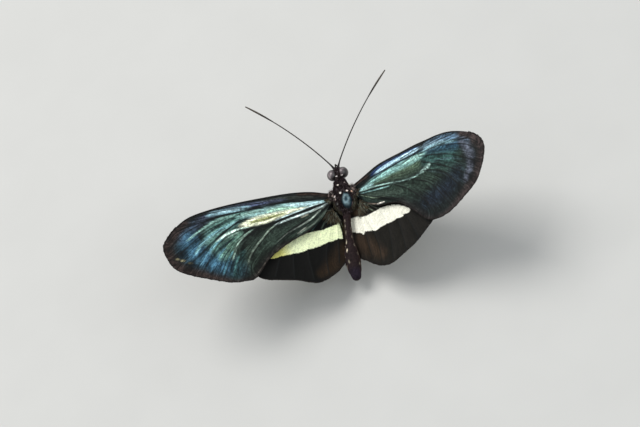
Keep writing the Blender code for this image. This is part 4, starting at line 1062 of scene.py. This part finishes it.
# One lock: three corners at the root, three half way, and the tip
LOCK_FACES = np.array([
    [2, 1, 0], [0, 1, 4], [0, 4, 3], [1, 2, 5], [1, 5, 4], [2, 0, 3], [2, 3, 5], [3, 4, 6], [4, 5, 6],
    [5, 3, 6]])
LOCK_UV = np.array([[0, 0], [0.5, 0], [1, 0], [0.1, 0.5], [0.5, 0.5], [0.9, 0.5], [0.5, 1]]) - 0.5
LOCK_SINK = 0.06  # how far under the skin the roots start
LOCK_FLAT = 0.6  # a lock's thickness to its width
LOCK_ARCH = 0.04  # of its length, how far its middle is raised
LOCK_DIP = 0.12  # of its length, how far its tip is lowered


def locks(name, roots, normals, lie, length, half_width, paint, uv, material, rise):
    """Hair locks: each is a thin three-sided blade from its root along the lie, lifted by rise and bending
    back towards the surface at its tip."""
    ahead = unit(lie + normals * rise[:, None])
    across = unit(np.cross(ahead, normals))
    over = np.cross(across, ahead)
    turn = np.array([0.5, 0.5 + 2.0 / 3.0, 0.5 + 4.0 / 3.0])[None, :, None] * np.pi
    ring = (np.cos(turn) * across[:, None] + LOCK_FLAT * np.sin(turn) * over[:, None]) * half_width
    reach = ahead * length[:, None]
    base = roots - normals * LOCK_SINK
    middle = roots + reach * 0.5 + normals * (LOCK_ARCH * length)[:, None]
    tip = roots + reach - normals * (LOCK_DIP * length)[:, None]
    points = np.concatenate([base[:, None] + ring, middle[:, None] + ring * 0.85, tip[:, None]], axis=1)
    tuft_uv = (uv[:, None] + LOCK_UV[None] * TUFT_PATCH).reshape(-1, 2)
    made = build(name, to_world(points.reshape(-1, 3)), [repeated(LOCK_FACES, 7, len(roots))], material,
                 None, {"paint": np.repeat(paint, 7, axis=0)}, tuft_uv)


def scatter_on_body(count, y_high, y_low, seed):
    """Turn and y of points spread evenly over the skin between two y values."""
    rng = np.random.default_rng(seed)
    y = np.linspace(y_low, y_high, 400)
    order = STATIONS[::-1]
    girth = np.interp(y, order[:, 0], order[:, 3] + order[:, 4])
    spread_y = np.cumsum(girth)
    picked = np.interp(rng.uniform(0.0, spread_y[-1], count), spread_y, y)
    return rng.uniform(-np.pi, np.pi, count), picked, rng


COAT_PLANS = (
    # name, locks, from y, to y, length, half width, lift, heading along y, scatter, seed
    ("head_coat", 2400, 6.05, 3.5, 0.32, 0.032, 0.8, 0.2, 0.5, 11),
    ("collar_coat", 3000, 4.0, 1.6, 0.55, 0.035, 0.6, -1.0, 0.3, 14),
    ("thorax_coat", 8000, 2.2, -3.5, 0.6, 0.038, 0.42, -1.0, 0.3, 12),
    ("abdomen_coat", 8000, -3.3, -17.05, 0.42, 0.055, 0.15, -1.0, 0.3, 13),
)
# Hair colours with the share of each
HAIR_TINTS = (("#150e0f", 0.44), ("#281b1c", 0.24), ("#3c2c2b", 0.14), ("#574b4f", 0.1), ("#93868a", 0.08))


def mixed_tints(tints, count, rng):
    """A colour for each hair, drawn from the tints by their shares."""
    names, shares = zip(*tints)
    return np.array([colour(name) for name in names])[rng.choice(len(names), count, p=shares)]


def hair_paint(base, pale, rng):
    """The skin's own markings where they are pale, and a mix of dark and grey hairs elsewhere."""
    mixed = mixed_tints(HAIR_TINTS, len(base), rng) * (1.0 - pale) + base * pale
    return mixed * (rng.uniform(0.6, 1.3, len(base))[:, None] * (1.0 - pale) + pale)


def make_coat(material):
    """Body coat: bristly on head and collar, swept back on the thorax, flat and scaly on the abdomen."""
    for name, count, high, low, length, width, rise, heading, scatter, seed in COAT_PLANS:
        turn, y, rng = scatter_on_body(count, high, low, seed)
        roots = body_point(turn, y)
        _, mask = sheen_field(roots)
        keep = rng.uniform(0.0, 1.0, count) > mask * 1.4
        for centre in EYE_CENTRES.values():
            keep &= np.linalg.norm((roots - centre) / EYE_SEMI, axis=1) > 1.0
        turn, y, roots = turn[keep], y[keep], roots[keep]
        normals = body_normal(turn, y)
        left = len(y)
        lie = flattened([0.0, heading, 0.0] + scatter * rng.standard_normal((left, 3)), normals)
        reach = length * rng.uniform(0.5, 1.25, left)
        shown = body_paint(roots + lie * (0.4 * reach)[:, None], turn)
        pale = smoothstep(0.05, 0.25, shown.mean(axis=1))
        paint = hair_paint(shown, pale[:, None], rng)
        if name == "abdomen_coat":
            paint = shown * rng.uniform(0.45, 1.9, left)[:, None]
        lift = rise * rng.uniform(0.5, 1.5, left) * (1.0 - 0.6 * pale)
        locks(name, roots, normals, lie, reach * (1.0 - 0.5 * pale), width, paint, body_uv(turn, y),
              material, lift)


def make_spots(material):
    """Small tufts of short broad scales just over the coat, one for each pale spot, scattered evenly over a
    disc square to the body."""
    rng = np.random.default_rng(41)
    places, tints = [], []
    for x, y, z, radius, tint in PALE_SPOTS:
        across = rng.standard_normal((SPOT_SCALES, 3))
        out = unit(np.array([x, 0.4 * (y - THORAX_CENTRE[1]), z + 0.6]))
        across = unit(across - out * (across @ out)[:, None])
        away = 0.75 * radius * np.sqrt(rng.uniform(0.0, 1.0, SPOT_SCALES))
        places.append([x, y, z] + SPOT_OVER * out + across * away[:, None])
        tints.append(colour(tint) * rng.uniform(0.8, 1.1, SPOT_SCALES)[:, None])
    roots = np.vstack(places)
    count = len(roots)
    normals = unit(roots * [1.0, 0.4, 1.0] + [0.0, 0.1, 0.6])
    lie = flattened([0.0, -1.0, 0.0] + 0.35 * rng.standard_normal(roots.shape), normals)
    uv = body_uv(np.arctan2(roots[:, 0], roots[:, 2]), roots[:, 1])
    locks("pale_spot_scales", roots, normals, lie, rng.uniform(0.14, 0.26, count), SPOT_SCALE_HALF,
          np.vstack(tints), uv, material, rng.uniform(0.1, 0.3, count))


def ellipsoid_grid(rows, columns):
    """Unit sphere points (cos p, sin p cos t, sin p sin t) in rings from X to -X, then the two poles."""
    polar = np.linspace(0.0, np.pi, rows + 2)[1:-1]
    turn = np.linspace(0.0, 2.0 * np.pi, columns, endpoint=False)
    p, t = np.meshgrid(polar, turn, indexing="ij")
    sphere = np.stack([np.cos(p), np.sin(p) * np.cos(t), np.sin(p) * np.sin(t)], axis=-1).reshape(-1, 3)
    return np.vstack([sphere, [[1.0, 0.0, 0.0], [-1.0, 0.0, 0.0]]])


# Hairy pads: centre, half sizes, hair colours with their shares, locks, length, lie on the right side
PADS = {
    "tegula": ((2.0, 0.45, 1.25), (0.44, 0.88, 0.32),
               (("#1c1516", 0.36), ("#3a2f2e", 0.24), ("#6f625e", 0.2), ("#a99b96", 0.14),
                ("#d8cec8", 0.06)),
               800, 0.8, (0.75, -0.8, 0.1)),
    "patagium": ((0.6, 2.7, 1.3), (0.55, 0.62, 0.45),
                 (("#1f1618", 0.55), ("#33272a", 0.3), ("#5a4c58", 0.15)),
                 420, 0.45, (0.35, -1.0, 0.0)),
}
PAD_GRID = (26, 36)
PAD_HAIR_HALF = 0.032


def make_pads(cuticle, material):
    """Tegulae over the forewing roots and patagia behind the head: ellipsoids covered in short hair."""
    for kind, (centre, semi, tints, count, length, lie_of_right) in PADS.items():
        for number, (label, side) in enumerate(SIDES.items()):
            middle = np.array(centre) * [side, 1.0, 1.0]
            points = ellipsoid_grid(*PAD_GRID) * semi + middle
            paint = np.tile(colour(tints[0][0]), (len(points), 1))
            made = build(f"{kind}_{label}", to_world(points), ringed_faces(*PAD_GRID), cuticle,
                         {"shine": np.zeros(len(points))}, {"paint": paint})
            rng = np.random.default_rng(50 + number)
            sphere = unit(rng.standard_normal((count, 3)))
            sphere[:, 2] = np.abs(sphere[:, 2])
            normals = unit(sphere / semi)
            lie = np.array(lie_of_right) * [side, 1.0, 1.0] + 0.45 * rng.standard_normal((count, 3))
            hair = mixed_tints(tints, count, rng) * rng.uniform(0.6, 1.2, count)[:, None]
            uv = sphere[:, :2] * 0.04 + [0.1 + 0.1 * number, 0.95 if kind == "tegula" else 0.85]
            locks(f"{kind}_{label}_hair", sphere * semi + middle, normals, flattened(lie, normals),
                  length * rng.uniform(0.5, 1.3, count), PAD_HAIR_HALF, hair, uv, material,
                  0.3 * rng.uniform(0.5, 1.5, count))


# Long hair: its colours with their shares, the locks on each flank of the thorax, and for each wing root
# the locks, how far from the hinge they are rooted, their directions in degrees back from straight out,
# their length and the seed
ROOT_TINTS = (("#241d19", 0.3), ("#40362a", 0.26), ("#665841", 0.2), ("#7d7a68", 0.15), ("#9aa697", 0.09))
FLANK_LOCKS = 700
FLANK_HALF = 0.03
ROOT_HAIR_HALF = 0.032
ROOT_HAIR = (
    ("hindwing", 1100, (-0.6, 2.3), (10.0, 110.0), 1.6, 61),
    ("forewing", 300, (-0.2, 1.0), (15.0, 75.0), 1.0, 71),
)


def make_flank_hair(material):
    """Long locks on the thorax's flanks that sweep out and back to meet the hair of the wing roots."""
    for number, (label, side) in enumerate(SIDES.items()):
        rng = np.random.default_rng(81 + number)
        turn = side * rng.uniform(0.95, 1.6, FLANK_LOCKS)
        y = rng.uniform(-3.0, 0.5, FLANK_LOCKS)
        normals = body_normal(turn, y)
        lie = [0.9 * side, -1.0, -0.2] + 0.25 * rng.standard_normal((FLANK_LOCKS, 3))
        hair = mixed_tints(ROOT_TINTS, FLANK_LOCKS, rng) * rng.uniform(0.5, 1.1, FLANK_LOCKS)[:, None]
        locks(f"flank_{label}_hair", body_point(turn, y), normals, flattened(lie, normals),
              rng.uniform(0.6, 1.6, FLANK_LOCKS), FLANK_HALF, hair, body_uv(turn, y), material,
              rng.uniform(0.15, 0.5, FLANK_LOCKS))


def make_root_hair(material):
    """Thin locks lying just over the wings' upper sides, fanned out from the hinges."""
    for kind, count, rooted, fan, length, seed in ROOT_HAIR:
        for number, label in enumerate(SIDES):
            rng = np.random.default_rng(seed + number)
            angle = np.radians(rng.uniform(*fan, count))
            spoke = np.stack([np.cos(angle), -np.sin(angle)], axis=1)
            plane = spoke * rng.uniform(*rooted, count)[:, None] + [0.0, -0.3]
            height = (wing_camber(plane[:, 0]) + MEMBRANE_HALF + 0.05)[:, None]
            roots = wing_to_body(np.hstack([plane, height]), kind, label)
            ahead = wing_to_body(np.hstack([plane + spoke * 0.1, height]), kind, label)
            lie = unit(unit(ahead - roots) + 0.07 * rng.standard_normal((count, 3)))
            normals = np.tile(wing_turn(label) @ [0.0, 0.0, 1.0], (count, 1))
            hair = mixed_tints(ROOT_TINTS, count, rng) * rng.uniform(0.7, 1.2, count)[:, None]
            uv = plane * 0.02 + [0.3 + 0.2 * number, 0.9 if kind == "forewing" else 0.8]
            locks(f"{kind}_{label}_root_hair", roots, normals, lie, length * rng.uniform(0.5, 1.3, count),
                  ROOT_HAIR_HALF, hair, uv, material, np.full(count, 0.05))


def hair_material():
    """Hair and flat scales in the coat's painted colours."""
    made, tree, shader = new_material("hair", 0.6, Specular_IOR_Level=0.18)
    tone = spread(tree, noise(tree, own_place(tree), 5200.0, 2.0), 0.3, 0.7, 0.8, 1.25)
    tree.links.new(times(tree, attribute(tree, "paint", "Color"), tone), shader.inputs["Base Color"])
    return made


# Head: eyes, antennae, palps, tongue

EYE_CENTRES = {"left": np.array([-1.1, 4.78, 1.06]), "right": np.array([0.97, 4.8, 1.0])}
EYE_SEMI = np.array([1.05, 1.08, 1.15])
EYE_HIGHLIGHT_AIM = unit([0.0, -0.4, 0.9])  # the middle of the painted highlight, a pale patch up and a little to the rear
EYE_SHADE_AIM = unit([0.75, -0.6, 0.28])  # to the right and rear, where painted shade darkens the eyes
EYE_GRID = (60, 80)
EYE_HIGHLIGHT_GREY = "#a99d9f"
EYE_HIGHLIGHT_PLUM = "#62555a"
EYE_BLACK = "#0f0b0d"
EYE_SHADE_BROWN = "#1d1719"


def make_eyes(material):
    """Domed compound eyes: ellipsoids sunk into the sides of the head."""
    for label, centre in EYE_CENTRES.items():
        points = ellipsoid_grid(*EYE_GRID) * EYE_SEMI + centre
        outward = (points - centre) / EYE_SEMI
        # Fields for painting the highlight on top and the shade at the rear
        fields = {"top": outward @ EYE_HIGHLIGHT_AIM, "rear": outward @ EYE_SHADE_AIM}
        made = build(f"eye_{label}_dome", to_world(points), ringed_faces(*EYE_GRID), material, fields)
        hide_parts(f"eye_{label}")


def eye_material():
    """Glossy plum eye with fine facets: a painted highlight of pale grey on its top, black round that and
    painted shade in brown at its rear.
    """
    made, tree, shader = new_material("compound_eye", 0.42, Specular_IOR_Level=0.55, Coat_Weight=0.6,
                                      Coat_Roughness=0.2)
    place = own_place(tree)
    middle = mix(tree, spread(tree, noise(tree, place, 1400.0, 2.0), 0.4, 0.62), EYE_HIGHLIGHT_GREY, EYE_HIGHLIGHT_PLUM)
    # Painted highlight on top, black round it, painted shade towards the rear
    tone = mix(tree, spread(tree, attribute(tree, "top"), 0.45, 0.95), EYE_BLACK, middle)
    tone = mix(tree, spread(tree, attribute(tree, "rear"), 0.2, 0.8), tone, EYE_SHADE_BROWN)
    away = node(tree, "ShaderNodeTexVoronoi", {"Vector": place, "Scale": 16000.0}).outputs["Distance"]
    tree.links.new(times(tree, tone, spread(tree, away, 0.2, 0.75, 1.15, 0.6)), shader.inputs["Base Color"])
    bump(tree, shader, math_node(tree, "SUBTRACT", 1.0, away), 0.00001, 0.5)
    return made


def head_seat(direction, side):
    """Point on the head's ellipsoid in a direction, and the normal there."""
    toward = unit(np.array(direction) * [side, 1.0, 1.0])
    return HEAD_CENTRE + HEAD_SEMI * toward, unit(toward / HEAD_SEMI)


ANTENNA_REACH = {"left": np.array([-12.7, 13.9, 8.0]), "right": np.array([14.1, 12.3, 8.0])}
ANTENNA_BOW = 0.75
ANTENNA_SHAFT = 0.12
ANTENNA_CLUB = 0.2
ANTENNA_JOINTS = 34


def make_antennae(material):
    """Antennae: a straight run bowed inward by a parabola, ringed at each joint, swelling into a club."""
    t = np.linspace(0.0, 1.0, ANTENNA_JOINTS * 8 + 1)
    joint = (t * ANTENNA_JOINTS) % 1.0
    club = np.clip((t - 0.7) / 0.3, 0.0, 1.0)
    swell = np.sin(np.pi * np.minimum(1.0, club ** 0.9 * 0.86)) * (1.0 - 0.6 * club ** 8)
    radius = ANTENNA_SHAFT * (1.0 - 0.25 * t) + (ANTENNA_CLUB - ANTENNA_SHAFT) * swell
    radius *= 1.0 + 0.1 * np.exp(-((np.minimum(joint, 1.0 - joint) / 0.14) ** 2))
    radius *= 1.0 + 1.2 * np.exp(-t * 45.0)
    for label, side in SIDES.items():
        start, normal = head_seat((0.3, 0.75, 0.6), side)
        reach = ANTENNA_REACH[label]
        inward = unit(reach * (side * reach[0] / (reach @ reach)) - np.array([side, 0.0, 0.0]))
        bow = (ANTENNA_BOW * 4.0 * t * (1.0 - t))[:, None] * inward
        path = start + normal * 0.3 + t[:, None] * reach + bow
        path -= normal * (0.45 * np.exp(-t * 60.0))[:, None]
        made = tube(f"antenna_{label}_shaft", path, radius, radius, np.array([0.0, 0.0, 1.0]), material)
        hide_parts(f"antenna_{label}")


def ringed_material(name, base, ring, end, count, roughness):
    """Dark jointed limb with a faint paler ring at each joint, turning to another colour near its end."""
    made, tree, shader = new_material(name, roughness, Specular_IOR_Level=0.4)
    along = attribute(tree, "along")
    phase = math_node(tree, "FRACT", math_node(tree, "MULTIPLY", along, float(count)))
    ringed = mix(tree, spread(tree, phase, 0.82, 0.96, 0.0, 0.6), base, ring)
    tone = spread(tree, noise(tree, own_place(tree), 4200.0, 3.0), 0.3, 0.7, 0.75, 1.3)
    ended = mix(tree, spread(tree, along, 0.74, 0.92, 0.0, 0.7), ringed, end)
    tree.links.new(times(tree, ended, tone), shader.inputs["Base Color"])
    speckle, height = scale_cover(tree, 0.00007, 0.3)
    bump(tree, shader, math_node(tree, "ADD", height, speckle), 0.00002, 0.5)
    return made


PALP_HALF = 0.22
PALP_KNOTS = ((0.36, 6.4, 0.5), (0.15, 6.55, 1.1), (0.05, 6.5, 1.86))  # on the right side
COIL_CENTRE = np.array([0.0, 5.5, -1.72])
COIL_START = 115.0  # degrees round from straight ahead
COIL_TURNS = 2.6
COIL_REACH = 0.92
COIL_CLOSE = 0.72  # how much nearer to the centre the inner end is
TONGUE_HALF = 0.13
TONGUE_TAPER = 0.55
TONGUE_ROOT = ((0.0, 5.35, 0.1), (0.0, 5.3, -0.4))


def make_palps(material):
    """Upturned palps in front of the face: tubes on a smooth curve, whose width falls as the root of
    1 - 0.85 t ** 1.6."""
    t = np.linspace(0.0, 1.0, 60)
    radius = PALP_HALF * np.sqrt(np.clip(1.0 - 0.85 * t ** 1.6, 0.02, 1.0))
    for label, side in SIDES.items():
        start, normal = head_seat((0.42, 0.85, -0.3), side)
        knots = np.vstack([start - normal * 0.2, np.array(PALP_KNOTS) * [side, 1.0, 1.0]])
        made = tube(f"palp_{label}_shaft", smooth_line(knots, len(t)), radius * 0.85, radius,
                    np.array([0.0, 1.0, 0.3]), material)
        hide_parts(f"palp_{label}")


def make_tongue(material):
    """The tongue: down from the mouth, then coiled under the head as a flat spiral, whose radius and width
    shrink evenly with the turn."""
    t = np.linspace(0.0, 1.0, 260)
    turn = math.radians(COIL_START) - 2.0 * np.pi * COIL_TURNS * t
    spoke = np.stack([0.0 * t, np.cos(turn), np.sin(turn)], axis=1)
    coil = COIL_CENTRE + (COIL_REACH - COIL_CLOSE * t)[:, None] * spoke
    lead = smooth_line(np.vstack([TONGUE_ROOT, coil[0] + (coil[0] - coil[6]) * 0.4]), 26)
    half = np.concatenate([np.full(len(lead), TONGUE_HALF), TONGUE_HALF * (1.0 - TONGUE_TAPER * t)])
    made = tube("proboscis_coil", np.vstack([lead, coil]), half, half, np.array([1.0, 0.0, 0.0]), material)
    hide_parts("proboscis")


# Legs. Knees, ankles and toes are on the right side, in world millimetres from the floor under the body
# frame's origin.

WALKING_LEGS = {
    "midleg": ((0.35, 0.3, -0.9), (4.3, 2.2, 5.3), (6.3, 3.9, 0.75), (8.4, 5.7)),
    "hindleg": ((0.35, -0.35, -0.9), (4.2, -3.4, 5.1), (6.0, -6.0, 0.75), (7.6, -8.6)),
}
FOOT_HALF = 0.17
COXA_LENGTH = 1.1
HEEL_SHARE = 0.28  # of the way from ankle to toe
FOOT_JOINTS = 5
FOOT_SHARE = 0.24  # of the leg's length
FOOT_PINCH = 0.16  # share of its width that the foot loses between its joints
LEG_SEAT = 0.86  # of the way from the thorax's middle to its skin
# Shares of each leg part's length, and the half width there
COXA = ((0.0, 0.5), (0.6 / COXA_LENGTH, 0.46), (1.0, 0.36))
FEMUR = ((0.3, 0.3), (0.65, 0.33), (0.93, 0.24))
TIBIA = ((0.05, 0.24), (0.35, 0.2), (0.7, 0.19), (0.95, 0.2))
FOOT = ((0.0, FOOT_HALF), (0.35, 0.15), (0.7, 0.14), (1.0, 0.12))
FORELEG_KNOTS = ((1.1, 3.2, -3.1), (0.75, 4.6, -1.1))


def thorax_seat(direction, side):
    """Body-frame point a little inside the thorax in a direction, and the direction out of it."""
    toward = unit(np.array(direction) * [side, 1.0, 1.0])
    return THORAX_CENTRE + THORAX_SEMI * toward * LEG_SEAT, unit(toward / THORAX_SEMI)


def make_walking_legs(material):
    """Walking legs: round tubes on a smooth curve from the hip by knee, ankle and heel to the toe, each part
    with its own widths. The foot lies on the floor and is narrowed by a sine between its joints."""
    ground = STANCE_SHIFT * [1.0, 1.0, 0.0]
    for kind, (direction, knee, ankle, toe) in WALKING_LEGS.items():
        for label, side in SIDES.items():
            seat, normal = thorax_seat(direction, side)
            hip = seat @ STANCE_TURN.T + STANCE_SHIFT
            facing = normal @ STANCE_TURN.T
            coxa = hip + facing * COXA_LENGTH
            knee_at = ground + np.array(knee) * [side, 1.0, 1.0]
            ankle_at = ground + np.array(ankle) * [side, 1.0, 1.0]
            toe_at = ground + [toe[0] * side, toe[1], FOOT_HALF]
            heel_at = ankle_at + (toe_at - ankle_at) * HEEL_SHARE
            heel_at[2] = FOOT_HALF
            parts = ((hip, coxa, COXA), (coxa, knee_at, FEMUR), (knee_at, ankle_at, TIBIA),
                     (heel_at, toe_at, FOOT))
            knots = [[*(a + (b - a) * share), half] for a, b, part in parts for share, half in part]
            rows = smooth_line(knots, 220)
            path, half = rows[:, :3].copy(), rows[:, 3].copy()
            t = np.linspace(0.0, 1.0, len(path))
            pinch = np.abs(np.sin((t - (1.0 - FOOT_SHARE)) * np.pi * FOOT_JOINTS / FOOT_SHARE)) ** 6
            half *= 1.0 - FOOT_PINCH * smoothstep(0.74, 0.78, t) * pinch
            path[:, 2] = np.maximum(path[:, 2], half)
            up = facing * 0.05 + [0.0, 0.0, 1.0]
            made = tube(f"{kind}_{label}_limb", path, half, half, up, material, world=True)
            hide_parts(f"{kind}_{label}")


def make_forelegs(material):
    """Small forelegs, folded forward under the head: tubes on a smooth curve, thinning evenly."""
    t = np.linspace(0.0, 1.0, 120)
    half = 0.26 - 0.14 * t
    for label, side in SIDES.items():
        seat, normal = thorax_seat((0.35, 0.75, -0.65), side)
        knots = np.vstack([seat, seat + normal * 0.9, np.array(FORELEG_KNOTS) * [side, 1.0, 1.0]])
        made = tube(f"foreleg_{label}_limb", smooth_line(knots, len(t)), half, half,
                    np.array([1.0, 0.0, 0.1]), material)
        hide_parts(f"foreleg_{label}")


# Scene: floor, lights, camera

FLOOR_HALF = 1.5  # metres
FLOOR_TINT = (0.6, 0.6, 0.585, 1.0)
LIGHT_TARGET = (0.0, 0.0, 0.01)
# Place and side in metres, power, tint: key above the insect's left and front, fill on its right and rear
LIGHTS = {
    "key": ((-0.22, 0.16, 0.62), 0.4, 3.05, (1.0, 0.98, 0.95)),
    "fill": ((0.4, -0.3, 0.45), 0.5, 1.0, (0.93, 0.97, 1.0)),
}
SKY_TINT = (0.9, 0.93, 0.95, 1.0)
SKY_STRENGTH = 0.58


def make_floor():
    """A wide pale floor."""
    made, tree, shader = new_material("pale_floor", 0.9, Specular_IOR_Level=0.1)
    grain = spread(tree, noise(tree, own_place(tree), 60.0, 2.0), 0.2, 0.8, 0.985, 1.015)
    tree.links.new(times(tree, FLOOR_TINT, grain), shader.inputs["Base Color"])
    mesh = bpy.data.meshes.new("floor")
    corners = [(x * FLOOR_HALF, y * FLOOR_HALF, 0.0) for x, y in ((-1, -1), (1, -1), (1, 1), (-1, 1))]
    mesh.from_pydata(corners, [], [(0, 1, 2, 3)])
    mesh.materials.append(made)
    floor = bpy.data.objects.new("floor", mesh)
    bpy.context.scene.collection.objects.link(floor)


def make_lights():
    """Square soft lights aimed at the insect, and a pale world."""
    for name, (place, side, power, tint) in LIGHTS.items():
        lamp = bpy.data.lights.new(name, "AREA")
        lamp.size = side
        lamp.energy = power
        lamp.color = tint
        made = bpy.data.objects.new(name, lamp)
        made.location = place
        made.rotation_euler = (Vector(LIGHT_TARGET) - Vector(place)).to_track_quat("-Z", "Y").to_euler()
        bpy.context.scene.collection.objects.link(made)
    world = bpy.data.worlds.new("studio")
    bpy.context.scene.world = world
    world.use_nodes = True
    background = world.node_tree.nodes["Background"]
    background.inputs["Color"].default_value = SKY_TINT
    background.inputs["Strength"].default_value = SKY_STRENGTH


def make_camera():
    """The photo's viewpoint: an axis frame i (right), j (up), c (towards the camera) in the body frame, the
    camera at c times the distance less the offset along i and j."""
    rise, lean, roll = (math.radians(v) for v in (CAMERA_RISE, CAMERA_LEAN, CAMERA_ROLL))
    c = np.array([-math.sin(lean) * math.sin(rise), -math.cos(rise), math.cos(lean) * math.sin(rise)])
    level = np.array([math.cos(lean), 0.0, math.sin(lean)])
    steep = np.cross(c, level)
    i = math.cos(roll) * level - math.sin(roll) * steep
    j = math.sin(roll) * level + math.cos(roll) * steep
    lens = bpy.data.cameras.new("camera")
    lens.sensor_width = SENSOR_WIDTH
    lens.lens = SENSOR_WIDTH * CAMERA_DISTANCE / MM_PER_PIXEL / PHOTO_WIDTH
    lens.clip_start = 0.01
    lens.clip_end = 10.0
    matrix = np.eye(4)
    matrix[:3, :3] = STANCE_TURN @ np.stack([i, j, c], axis=1)
    matrix[:3, 3] = to_world(c * CAMERA_DISTANCE - i * CAMERA_OFFSET[0] - j * CAMERA_OFFSET[1])
    made = bpy.data.objects.new("camera", lens)
    made.matrix_world = Matrix(matrix.tolist())
    bpy.context.scene.collection.objects.link(made)
    bpy.context.scene.camera = made


make_camera()
make_floor()
make_lights()
bpy.context.scene.view_settings.view_transform = "Standard"

skin = skin_material()
hair = hair_material()
make_skin(skin)
make_coat(hair)
make_pads(skin, hair)
make_spots(hair)
make_flank_hair(hair)
make_root_hair(hair)
make_eyes(eye_material())
make_antennae(ringed_material("antenna", "#181412", "#5b5044", "#4d453b", ANTENNA_JOINTS, 0.45))
limb = ringed_material("limb", "#241d19", "#6b5d4b", "#241d19", 7, 0.5)
make_palps(limb)
make_tongue(limb)
make_walking_legs(limb)
make_forelegs(limb)
wing_finish = {
    "forewing": wing_material("forewing_scales", 0.45, 0.6, 1.45, 0.6),
    "hindwing": wing_material("hindwing_scales", 0.6, 0.85, 1.2, 0.2),
}
for side_name in SIDES:
    for kind, finish in wing_finish.items():
        make_wing(kind, side_name, finish)
        make_fringe(kind, side_name, hair)

bpy.context.view_layer.update()
